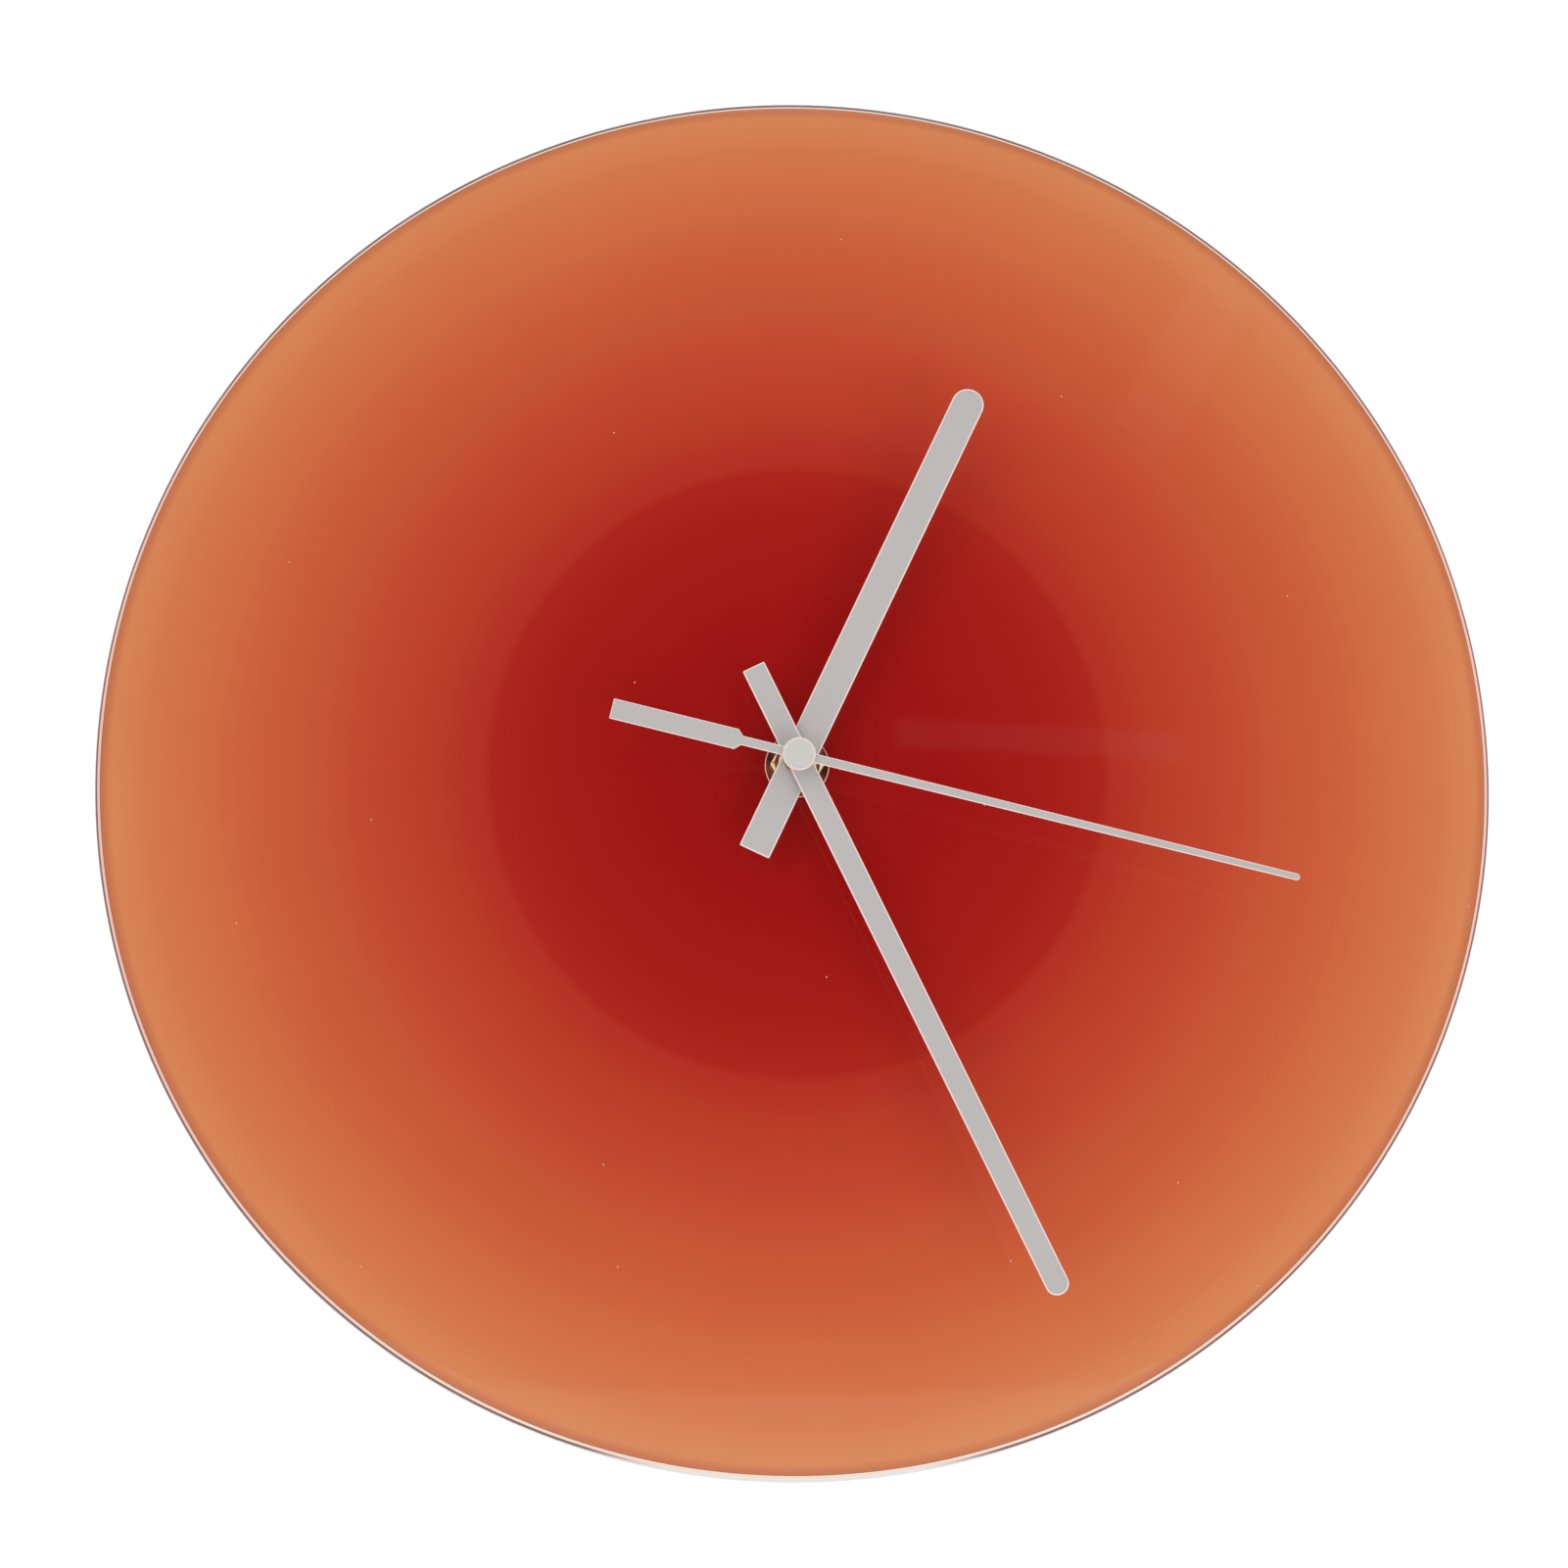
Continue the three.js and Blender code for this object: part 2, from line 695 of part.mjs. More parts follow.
// Keyhole in the hanger's tab: a round hole for the nail's head, a slot for its shank
function keyhole() {
  const back = hangerStandOff - cutOver;
  const length = hangerThickness + 2 * cutOver;
  const centre = nailHeight - keyholeDrop;
  const half = Math.asin(nailSlotRadius / keyholeRadius);
  const shape = new THREE.Shape();
  shape.absarc(0, centre, keyholeRadius, Math.PI / 2 + half, Math.PI / 2 - half, false);
  shape.lineTo(nailSlotRadius, nailHeight);
  shape.absarc(0, nailHeight, nailSlotRadius, 0, Math.PI, false);
  shape.closePath();
  return plate(shape, length, back);
}

// Front half of the movement's case, with the battery bay below the train's chamber
function movementCase() {
  const outer = roundedBox(-caseAcross, -caseUp, caseAcross, caseUp, caseCorner);
  const inner = caseCorner - caseWall;
  const chamber = roundedBox(-innerAcross, chamberBottom, innerAcross, innerUp, inner, 0);
  const bay = roundedBox(-innerAcross, bayBottom, innerAcross, bayTop, 0);
  const deep = chamberFront - caseBack + cutOver;
  const coverSeat = block(
    [-caseAcross - cutOver, caseBack - cutOver, coverBottom],
    [caseAcross + cutOver, coverFront, caseUp + cutOver],
  );
  const shell = cut(
    plate(outer, caseDepth, caseBack),
    plate(chamber, deep, caseBack - cutOver),
    plate(bay, deep, caseBack - cutOver),
    coverSeat,
    bar(bushRadius + easy, chamberFront - cutOver, caseFront + cutOver, handAxis, roundSides),
    thumbNotch(),
    contactSlot(-innerAcross + contactThickness / 2 + seat),
    contactSlot(innerAcross - contactThickness / 2 - seat),
    ...hookPlaces.map(hookWindow),
  );
  return joined(
    shell,
    ...pillarPlaces.map(pillar),
    ...bearingBosses(),
    wheelPost(),
    ...cradleRibs(),
  );
}

// Half-round notch in the bottom wall, to push the battery out
function thumbNotch() {
  const radius = thumbNotchRadius;
  const length = caseWall + 2 * cutOver;
  const cutter = new THREE.CylinderGeometry(radius, radius, length, roundSides);
  return cutter.rotateX(Math.PI / 2).translate(0, -caseBack, bayBottom - caseWall / 2);
}

// Wedges in the front corners of the bay that keep the battery in line
function cradleRibs() {
  const ribs = [];
  for (const x of [-cradleRibPlace, cradleRibPlace]) {
    ribs.push(cradleRib(x, bayBottom, 1), cradleRib(x, bayTop, -1));
  }
  return ribs;
}

function cradleRib(x, wall, upwards) {
  const root = upwards * (bayWallThickness / 2);
  const leg = upwards * cradleRibLeg;
  const deep = chamberFront + caseFrontWall / 2;
  const shape = new THREE.Shape([
    new THREE.Vector2(deep, wall - root),
    new THREE.Vector2(deep, wall + leg),
    new THREE.Vector2(chamberFront, wall + leg),
    new THREE.Vector2(chamberFront - cradleRibLeg, wall),
    new THREE.Vector2(chamberFront - cradleRibLeg, wall - root),
  ]);
  const settings = { depth: cradleRibThickness, bevelEnabled: false };
  const rib = new THREE.ExtrudeGeometry(shape, settings);
  rib.translate(0, 0, -cradleRibThickness / 2);
  return standing(rib).translate(x, 0, 0);
}

// Window in a wall for the barb of a snap hook
function hookWindow([x, upwards, reach]) {
  const tip = coverFront + reach;
  const half = hookWidth / 2 + easy;
  const low = upwards > 0 ? innerUp : bayTop;
  const high = upwards > 0 ? caseUp : chamberBottom;
  return block(
    [x - half, tip - hookBarbLength - easy, low - cutOver],
    [x + half, tip + easy, high + cutOver],
  );
}

function contactSlot(x) {
  const half = contactThickness / 2 + easy;
  return block(
    [x - half, contactBack - easy, bayTop - cutOver],
    [x + half, contactBack + contactTailWidth + easy, chamberBottom + cutOver],
  );
}

// Post that carries a corner of the bridge, with a spigot through it
function pillar([x, z]) {
  const shoulder = bridgeFront + seat;
  const wallMiddle = (chamberFront + caseFront) / 2;
  return turned(
    [
      [0, bridgeBack + seat],
      [spigotRadius, bridgeBack + seat],
      [spigotRadius, shoulder],
      [pillarRadius, shoulder],
      [pillarRadius, wallMiddle],
      [0, wallMiddle],
    ],
    smallRoundSides,
  ).translate(x, 0, z);
}

// A boss on the front wall with a blind hole for an arbor's front end
function boss([x, z], arbor, end) {
  const outer = arbor + slip + bossWall;
  const hole = arbor + slip;
  const wallMiddle = (chamberFront + caseFront) / 2;
  const holeEnd = end + pivotDepth + airGap;
  return turned(
    [
      [0, wallMiddle],
      [outer, wallMiddle],
      [outer, end],
      [hole, end],
      [hole, holeEnd],
      [0, holeEnd],
    ],
    smallRoundSides,
  ).translate(x, 0, z);
}

const thirdBossEnd = centreWheelBack + wheelThickness + pinionOverhang + airGap;
const fifthBossEnd = centreWheelBack + wheelThickness + airGap;
const rotorBossEnd = fifthWheelBack + wheelThickness + pinionOverhang + airGap;
const settingBossEnd = intermediateWheelBack + wheelThickness + pinionOverhang + airGap;

function bearingBosses() {
  return [
    boss(thirdAxis, arborRadius, thirdBossEnd),
    boss(fifthAxis, arborRadius, fifthBossEnd),
    boss(rotorAxis, arborRadius, rotorBossEnd),
    boss(settingAxis, arborRadius, settingBossEnd),
  ];
}

// Fixed post that the intermediate wheel turns on
function wheelPost() {
  const end = centreWheelBack + wheelThickness + airGap;
  return bar(postRadius, end, (chamberFront + caseFront) / 2, intermediateAxis);
}

// Rear cover over the train's chamber, with a cup for the knob and the rotor's bearing
function movementCover() {
  const bottom = coverBottom + easy;
  const outline = rounded([
    [-caseAcross, bottom, 0],
    [caseAcross, bottom, 0],
    [caseAcross, caseUp, caseCorner],
    [-caseAcross, caseUp, caseCorner],
  ]);
  const root = caseBack + coverThickness / 2;
  const flat = plate(outline, coverThickness - seat, caseBack);
  const frame = plate(coverLip(), coverFront + lipDepth - root, root);
  const cup = bar(
    knobPocketRadius + lipThickness,
    root,
    knobFloorFront,
    settingAxis,
    roundSides,
  );
  const rotorBearing = bar(
    arborRadius + slip + bossWall,
    root,
    rotorRearEnd + pivotDepth / 2,
    rotorAxis,
  );
  const pocket = bar(knobPocketRadius, caseBack - cutOver, knobFloorBack, settingAxis, roundSides);
  const shaftHole = bar(
    settingShaftRadius + slip,
    knobFloorBack - cutOver,
    knobFloorFront + cutOver,
    settingAxis,
  );
  const pivotHole = bar(
    arborRadius + slip,
    rotorRearEnd - airGap,
    rotorRearEnd + pivotDepth,
    rotorAxis,
  );
  const hooks = hookPlaces.map(snapHook);
  return cut(joined(flat, frame, cup, rotorBearing, ...hooks), pocket, shaftHole, pivotHole);
}

// Low wall on the cover that drops inside the case
function coverLip() {
  const across = innerAcross - easy;
  const up = innerUp - easy;
  const low = chamberBottom + easy;
  const corner = caseCorner - caseWall;
  const lip = roundedBox(-across, low, across, up, corner, 0);
  const wall = lipThickness;
  lip.holes.push(
    roundedBox(-across + wall, low + wall, across - wall, up - wall, corner - wall, 0),
  );
  return lip;
}

// A tongue on the lip with a barb that slopes off towards its tip
function snapHook([x, upwards, reach]) {
  const tip = coverFront + reach;
  const outer = upwards > 0 ? innerUp - easy : chamberBottom + easy;
  const inner = outer - upwards * lipThickness;
  const barb = outer + upwards * hookBarb;
  const root = coverFront - coverThickness / 2;
  const shape = new THREE.Shape([
    new THREE.Vector2(root, inner),
    new THREE.Vector2(tip, inner),
    new THREE.Vector2(tip, outer),
    new THREE.Vector2(tip - hookBarbLength, barb),
    new THREE.Vector2(tip - hookBarbLength, outer),
    new THREE.Vector2(root, outer),
  ]);
  const hook = new THREE.ExtrudeGeometry(shape, { depth: hookWidth, bevelEnabled: false });
  hook.translate(0, 0, -hookWidth / 2);
  return standing(hook).translate(x, 0, 0);
}

const magnetFront = statorFront + (magnetThickness - statorThickness) / 2;
const magnetBack = magnetFront - magnetThickness;
const rotorRearEnd = coverFront + airGap;

// Plate that carries the rear pivots, the motor and the circuit board
function gearBridge() {
  const edge = innerAcross - easy;
  const shape = roundedBox(
    -edge,
    chamberBottom + easy,
    edge,
    innerUp - easy,
    caseCorner - caseWall,
    0,
  );
  const coil = roundedBox(
    coilLeft - easy,
    coilHeight - bobbinFlangeRadius - airGap,
    coilRight + easy,
    coilHeight + bobbinFlangeRadius + airGap,
    coilWindowCorner,
  );
  const rotorHole = roundHole(magnetRadius + airGap, rotorAxis);
  const settingHole = roundHole(settingShaftRadius + airGap, settingAxis);
  const spigotHoles = pillarPlaces.map((place) => roundHole(spigotRadius + pressed, place));
  shape.holes.push(coil, rotorHole, settingHole, ...spigotHoles);
  shape.holes.push(roundHole(secondArborRadius + slip));
  shape.holes.push(roundHole(arborRadius + slip, thirdAxis));
  shape.holes.push(roundHole(arborRadius + slip, fifthAxis));
  const bridgeMiddle = (bridgeBack + bridgeFront) / 2;
  const stakes = stakePlaces.map((place) => bar(stakeRadius, coreBack, bridgeMiddle, place));
  return joined(plate(shape, bridgeThickness, bridgeBack, smallRoundSides), ...stakes);
}

// Stepping motor: a forked stator, and a coil on a core across its ends
const statorRight = innerAcross - statorInset;
const statorMiddle = rotorAxis[0];
const statorLeft = 2 * statorMiddle - statorRight;
const statorTop = coilHeight + coilCoreWidth / 2 + statorAboveCore;
const coilLeft = statorLeft + statorLegWidth + airGap;
const coilRight = statorRight - statorLegWidth - airGap;
const stakePlaces = [
  [statorLeft + statorLegWidth / 2, coilHeight],
  [statorRight - statorLegWidth / 2, coilHeight],
];

function stator() {
  const low = rotorAxis[1] - statorBarBelow;
  const high = rotorAxis[1] + statorBarAbove;
  const inLeft = statorLeft + statorLegWidth;
  const inRight = statorRight - statorLegWidth;
  const shape = rounded([
    [statorLeft, low, statorCorner],
    [statorRight, low, statorCorner],
    [statorRight, statorTop, statorTipCorner],
    [inRight, statorTop, statorTipCorner],
    [inRight, high, statorForkCorner],
    [inLeft, high, statorForkCorner],
    [inLeft, statorTop, statorTipCorner],
    [statorLeft, statorTop, statorTipCorner],
  ]);
  shape.holes.push(roundHole(magnetRadius + airGap, rotorAxis));
  shape.holes.push(...stakePlaces.map((place) => roundHole(stakeRadius + pressed, place)));
  return plate(shape, statorThickness, statorBack, smallRoundSides);
}

function coilCore() {
  const half = coilCoreWidth / 2;
  const low = coilHeight - half;
  const high = coilHeight + half;
  const shape = roundedBox(statorLeft, low, statorRight, high, statorTipCorner);
  shape.holes.push(...stakePlaces.map((place) => roundHole(stakeRadius + pressed, place)));
  return plate(shape, coilCoreThickness, coreBack, smallRoundSides);
}

function alongCoil(geometry) {
  return geometry.translate(0, -coilDepth, coilHeight);
}

function coilBobbin() {
  const bore = Math.hypot(coilCoreWidth, coilCoreThickness) / 2 + pressed;
  const flange = bobbinFlangeThickness;
  return alongCoil(
    turnedAcross([
      [bore, coilLeft],
      [bobbinFlangeRadius, coilLeft],
      [bobbinFlangeRadius, coilLeft + flange],
      [bobbinBarrelRadius, coilLeft + flange],
      [bobbinBarrelRadius, coilRight - flange],
      [bobbinFlangeRadius, coilRight - flange],
      [bobbinFlangeRadius, coilRight],
      [bore, coilRight],
    ], coilSides),
  );
}

function coilWinding() {
  const left = coilLeft + bobbinFlangeThickness + seat;
  const right = coilRight - bobbinFlangeThickness - seat;
  const inner = bobbinBarrelRadius + pressed;
  const outer = windingRadius;
  const section = [[inner, left], [outer, left], [outer, right], [inner, right]];
  return alongCoil(turnedAcross(section, coilSides));
}

// Circuit board in the upper left corner, with its chip and its crystal behind it
const boardLeft = -innerAcross + boardInset;
const boardTop = innerUp - boardInset;
const boardBack = bridgeBack - seat - boardThickness;
const chipPlace = [boardLeft + chipFromLeft, boardTop - chipFromTop];
const crystalHeight = boardTop - boardHeight + crystalLift;

function circuitBoard() {
  const shape = roundedBox(
    boardLeft,
    boardTop - boardHeight,
    boardLeft + boardWidth,
    boardTop,
    caseCorner - caseWall,
  );
  const near = pillarPlaces[0];
  shape.holes.push(roundHole(spigotRadius + easy, near));
  return plate(shape, boardThickness, boardBack, smallRoundSides);
}

function timingChip() {
  const base = boardBack - seat;
  const dome = [[0, base]];
  for (let step = 0; step < chipSteps; step += 1) {
    const angle = ((step / chipSteps) * Math.PI) / 2;
    dome.push([chipRadius * Math.cos(angle), base - chipHeight * Math.sin(angle)]);
  }
  dome.push([0, base - chipHeight]);
  return turned(dome, smallRoundSides).translate(chipPlace[0], 0, chipPlace[1]);
}

function quartzCrystal() {
  const left = boardLeft + (boardWidth - crystalLength) / 2;
  const right = left + crystalLength;
  const can = turnedAcross(
    [
      [0, left],
      [crystalRadius, left],
      [crystalRadius, right - crystalRound],
      [crystalRadius - crystalRound, right],
      [0, right],
    ],
    smallRoundSides,
  );
  return can.translate(0, -(boardBack - seat - crystalRadius), crystalHeight);
}

// Battery, a cylindrical cell lying across the bottom of the case
const batteryRight = innerAcross - contactFace - touch;
const batteryLeft = batteryRight - batteryLength;

function batteryCell() {
  const shoulder = batteryRight - batteryNubLength;
  const crimp = batteryCrimp;
  const cell = turnedAcross(
    [
      [0, batteryLeft],
      [batteryRadius - crimp, batteryLeft],
      [batteryRadius, batteryLeft + crimp],
      [batteryRadius, shoulder - crimp],
      [batteryRadius - crimp, shoulder],
      [batteryNubRadius, shoulder],
      [batteryNubRadius, batteryRight - crimp / 2],
      [batteryNubRadius - crimp / 2, batteryRight],
      [0, batteryRight],
    ],
    roundSides,
  );
  return cell.translate(0, -batteryDepth, batteryHeight);
}

// Contact strips: a wide blade in the bay and a narrow tail up to the circuit board
const contactLow = bayBottom + contactLift;
const contactShelf = chamberBottom + easy;

function contactStrip(blade, tail) {
  const wide = plate(rounded(blade), contactWidth, contactBack);
  const narrow = plate(rounded(tail), contactTailWidth, contactBack);
  return joined(wide, narrow);
}

function positiveContact() {
  const out = innerAcross - seat;
  const inside = out - contactThickness;
  const high = bayTop - airGap;
  const tailLeft = boardLeft + boardWidth / 2;
  const tailRight = tailLeft + contactThickness;
  const shelfTop = contactShelf + contactThickness;
  const boardFoot = boardTop - boardHeight - seat;
  return contactStrip(
    [[inside, contactLow, 0], [out, contactLow, 0], [out, high, 0], [inside, high, 0]],
    [
      [inside, high - contactTailRoot, 0],
      [out, high - contactTailRoot, 0],
      [out, shelfTop, contactThickness],
      [tailRight, shelfTop, 0],
      [tailRight, boardFoot, 0],
      [tailLeft, boardFoot, 0],
      [tailLeft, contactShelf, contactThickness],
      [inside, contactShelf, 0],
    ],
  );
}

// The negative contact's blade is bowed towards the cell
function negativeContact() {
  const out = -innerAcross + seat;
  const inside = out + contactThickness;
  const bow = springRoom - touch;
  const high = bayTop - airGap;
  const padLow = batteryHeight - contactPad / 2;
  const padHigh = batteryHeight + contactPad / 2;
  const tailTop = boardTop - boardHeight / 2;
  return contactStrip(
    [
      [out, contactLow, 0],
      [inside, contactLow, 0],
      [inside, contactLow + contactEndFlat, 0],
      [inside + bow, padLow, contactPadCorner],
      [inside + bow, padHigh, contactPadCorner],
      [inside, high - contactEndFlat, 0],
      [inside, high, 0],
      [out, high, 0],
      [out, high - contactEndFlat, 0],
      [out + bow, padHigh, contactPadCorner],
      [out + bow, padLow, contactPadCorner],
      [out, contactLow + contactEndFlat, 0],
    ],
    [
      [out, high - contactTailRoot, 0],
      [inside, high - contactTailRoot, 0],
      [inside, tailTop, 0],
      [out, tailTop, 0],
    ],
  );
}

// Rotor: a plastic shaft with a pinion, and a ring magnet pressed on it
function rotorShaft() {
  const front = rotorBossEnd + pivotDepth;
  const back = rotorRearEnd;
  const pinionBack = bridgeFront + airGap / 2;
  const pinionFront = fifthWheelBack + wheelThickness + pinionOverhang;
  const leaves = gearShape(rotorPinionTeeth, rotorModule, pinionLeaf, rotorAngle);
  return joined(
    plate(leaves, pinionFront - pinionBack, pinionBack),
    bar(arborRadius, back, front),
  );
}

function rotorMagnet() {
  return ring(arborRadius + pressed, magnetRadius, magnetBack, magnetFront);
}

// A wheel with a pinion in front of it and an arbor through both
function fifthWheel() {
  const angle = meshedAngle(rotorAxis, fifthAxis, rotorPinionTeeth, rotorAngle, fifthWheelTeeth);
  return joined(
    wheelGear(fifthWheelTeeth, rotorModule, angle, fifthWheelBack),
    pinionGear(fifthPinionTeeth, secondsModule, fifthPinionAngle, fifthWheelBack, secondWheelBack),
    bar(arborRadius, bridgeBack + seat, fifthBossEnd + pivotDepth),
  );
}

function thirdWheel() {
  const angle = meshedAngle(
    handAxis,
    thirdAxis,
    secondPinionTeeth,
    secondPinionAngle,
    thirdWheelTeeth,
  );
  return joined(
    wheelGear(thirdWheelTeeth, thirdModule, angle, thirdWheelBack),
    pinionGear(thirdPinionTeeth, centreModule, thirdPinionAngle, thirdWheelBack, centreWheelBack),
    bar(arborRadius, bridgeBack + seat, thirdBossEnd + pivotDepth),
  );
}

// A bore through everything on the hands' axis or on a wheel's own axis
function bored(geometry, radius, sides = smallRoundSides) {
  return cut(geometry, bar(radius, caseBack, capBack, handAxis, sides));
}

// The second wheel and its pinion, pressed on the steel arbor of the second hand
function secondWheel() {
  const angle = meshedAngle(
    fifthAxis,
    handAxis,
    fifthPinionTeeth,
    fifthPinionAngle,
    secondWheelTeeth,
  );
  return bored(
    joined(
      wheelGear(secondWheelTeeth, secondsModule, angle, secondWheelBack),
      pinionGear(secondPinionTeeth, thirdModule, secondPinionAngle, secondWheelBack, thirdWheelBack),
    ),
    secondArborRadius + pressed,
  );
}

function secondArbor() {
  return bar(secondArborRadius, bridgeBack + seat, secondHandFront);
}

// The centre wheel, whose pipe carries the minute hand
function centreWheel() {
  const angle = meshedAngle(
    thirdAxis,
    handAxis,
    thirdPinionTeeth,
    thirdPinionAngle,
    centreWheelTeeth,
  );
  const back = centreWheelBack;
  const tip = minuteHandBack + handThickness + pipeTipLength;
  return bored(
    joined(
      wheelGear(centreWheelTeeth, centreModule, angle, back),
      pinionGear(cannonPinionTeeth, workModule, cannonAngle, back, intermediateWheelBack),
      bar(minutePipeRadius, back + wheelThickness / 2, tip, handAxis, roundSides),
    ),
    secondArborRadius + slip,
  );
}

function intermediateWheel() {
  const back = intermediateWheelBack;
  const leafAngle = intermediatePinionAngle;
  return bored(
    joined(
      wheelGear(intermediateWheelTeeth, workModule, intermediateWheelAngle, back),
      pinionGear(intermediatePinionTeeth, hourModule, leafAngle, back, hourWheelBack),
    ),
    postRadius + slip,
  );
}

// The hour wheel, whose pipe carries the hour hand
function hourWheel() {
  const angle = meshedAngle(
    intermediateAxis,
    handAxis,
    intermediatePinionTeeth,
    intermediatePinionAngle,
    hourWheelTeeth,
  );
  const back = hourWheelBack;
  const tip = hourHandBack + handThickness + pipeTipLength;
  return bored(
    joined(
      wheelGear(hourWheelTeeth, hourModule, angle, back),
      bar(hourPipeRadius, back + wheelThickness / 2, tip, handAxis, roundSides),
    ),
    minutePipeRadius + slip,
    roundSides,
  );
}

// Setting pinion, in mesh with the intermediate wheel, and the knob on its shaft
function settingPinion() {
  const angle = meshedAngle(
    intermediateAxis,
    settingAxis,
    intermediateWheelTeeth,
    intermediateWheelAngle,
    settingPinionTeeth,
  );
  const leaves = gearShape(settingPinionTeeth, workModule, pinionLeaf, angle);
  const back = intermediateWheelBack - pinionOverhang;
  const front = intermediateWheelBack + wheelThickness + pinionOverhang;
  return joined(
    plate(leaves, front - back, back),
    bar(settingShaftRadius, knobBack + knobSocketFloor, back + wheelThickness),
    bar(arborRadius, back, settingBossEnd + pivotDepth),
  );
}

function settingKnob() {
  const shape = new THREE.Shape();
  const pointsPerFlute = 3;
  const count = knobFlutes * pointsPerFlute;
  for (let step = 0; step < count; step += 1) {
    const wave = (1 - Math.cos((2 * Math.PI * step) / pointsPerFlute)) / 2;
    const radius = knobRadius - knobFluteDepth * wave;
    const angle = (2 * Math.PI * step) / count;
    const x = radius * Math.cos(angle);
    const y = radius * Math.sin(angle);
    if (step === 0) shape.moveTo(x, y);
    else shape.lineTo(x, y);
  }
  shape.closePath();
  const blank = plate(shape, knobThickness, knobBack);
  const floor = knobBack + knobSocketFloor - seat;
  const socket = bar(settingShaftRadius + pressed, floor, knobFront + cutOver);
  const mouth = knobRadius - knobDishRim;
  const dish = turned([
    [0, knobBack - cutOver],
    [mouth, knobBack - cutOver],
    [mouth, knobBack],
    [mouth - knobDishSlope, knobBack + knobDishDepth],
    [0, knobBack + knobDishDepth],
  ]);
  return cut(blank, socket, dish);
}

// Hands, drawn pointing to twelve o'clock
function barHand(width, length, tail, hole, back) {
  const half = width / 2;
  const shape = new THREE.Shape();
  shape.moveTo(-half, -tail);
  shape.lineTo(half, -tail);
  shape.absarc(0, length - half, half, 0, Math.PI, false);
  shape.closePath();
  shape.holes.push(roundHole(hole));
  return plate(shape, handThickness, back);
}

function secondHandBlade() {
  const half = secondHandWidth / 2;
  const tip = secondHandTipWidth / 2;
  const weight = counterweightWidth / 2;
  const shoulder = -secondHandNeck - secondHandShoulder;
  const hub = secondHubRadius;
  const reach = Math.sqrt(hub ** 2 - half ** 2);
  const leave = Math.asin(half / hub);
  const shape = new THREE.Shape();
  shape.moveTo(-weight, -secondHandTail);
  shape.lineTo(weight, -secondHandTail);
  shape.lineTo(weight, shoulder);
  shape.lineTo(half, -secondHandNeck);
  shape.lineTo(half, -reach);
  shape.absarc(0, 0, hub, leave - Math.PI / 2, Math.PI / 2 - leave, false);
  shape.absarc(0, secondHandLength - tip, tip, 0, Math.PI, false);
  shape.absarc(0, 0, hub, Math.PI / 2 + leave, (3 * Math.PI) / 2 - leave, false);
  shape.lineTo(-half, -secondHandNeck);
  shape.lineTo(-weight, shoulder);
  shape.closePath();
  shape.holes.push(roundHole(secondArborRadius + pressed + secondTubeWall + pressed));
  return plate(shape, secondHandThickness, secondHandBack);
}

// A brass bush that is riveted through a hand and pressed on its pipe
function handBush(pipeRadius, handBack, length) {
  const bore = pipeRadius + pressed;
  const neck = bore + handBushWall;
  const flange = bore + handBushFlange;
  const shoulder = handBack - seat;
  return turned([
    [bore, shoulder - length],
    [flange, shoulder - length],
    [flange, shoulder],
    [neck, shoulder],
    [neck, handBack + handThickness],
    [bore, handBack + handThickness],
  ]);
}

function handHole(pipeRadius) {
  return pipeRadius + pressed + handBushWall + pressed;
}

function secondTube() {
  const bore = secondArborRadius + pressed;
  return ring(
    bore,
    bore + secondTubeWall,
    secondHandBack - secondTubeLength,
    secondHandFront,
    smallRoundSides,
  );
}

function secondCap() {
  const front = capBack + capThickness;
  return turned([
    [0, capBack],
    [capRadius, capBack],
    [capRadius, front - capBevel],
    [capRadius - capBevel, front],
    [0, front],
  ]);
}

function pointed(mesh, clockwiseDegrees) {
  mesh.rotation.y = radians(clockwiseDegrees);
  return mesh;
}

function hourHand() {
  const hole = handHole(hourPipeRadius);
  const blade = barHand(hourHandWidth, hourHandLength, hourHandTail, hole, hourHandBack);
  return pointed(piece('hour_hand', handGrey, blade), hourHandAngle);
}

function minuteHand() {
  const hole = handHole(minutePipeRadius);
  const blade = barHand(minuteHandWidth, minuteHandLength, minuteHandTail, hole, minuteHandBack);
  return pointed(piece('minute_hand', handGrey, blade), minuteHandAngle);
}

function secondHand() {
  return pointed(piece('second_hand', handGrey, secondHandBlade()), secondHandAngle);
}

function rubberWasher() {
  return ring(
    bushRadius + easy,
    rubberWasherRadius,
    rubberFront - rubberWasherThickness,
    rubberFront,
  );
}

// Assembly
const face = new THREE.Group();
face.add(
  piece('glass_dome', tintedGlass, glassDome()),
  piece('backing_disc', blackFelt, backingDisc()),
  piece('rubber_washer', rubber, rubberWasher()),
  piece('brass_washer', brass, brassWasher()),
  piece('centre_nut', brass, centreNut()),
  piece('wall_hanger', zincSteel, wallHanger()),
);

const movement = new THREE.Group();
movement.add(
  piece('movement_case', blackPlastic, movementCase()),
  piece('movement_cover', blackPlastic, movementCover()),
  piece('threaded_bush', brass, threadedBush()),
  piece('gear_bridge', whitePlastic, gearBridge()),
  piece('stator', siliconSteel, stator()),
  piece('coil_core', siliconSteel, coilCore()),
  piece('coil_bobbin', amberPlastic, coilBobbin()),
  piece('coil_winding', copper, coilWinding()),
  piece('circuit_board', boardGreen, circuitBoard()),
  piece('timing_chip', blackEpoxy, timingChip()),
  piece('quartz_crystal', zincSteel, quartzCrystal()),
  piece('positive_contact', zincSteel, positiveContact()),
  piece('negative_contact', zincSteel, negativeContact()),
  piece('battery_cell', batterySleeve, batteryCell()),
);

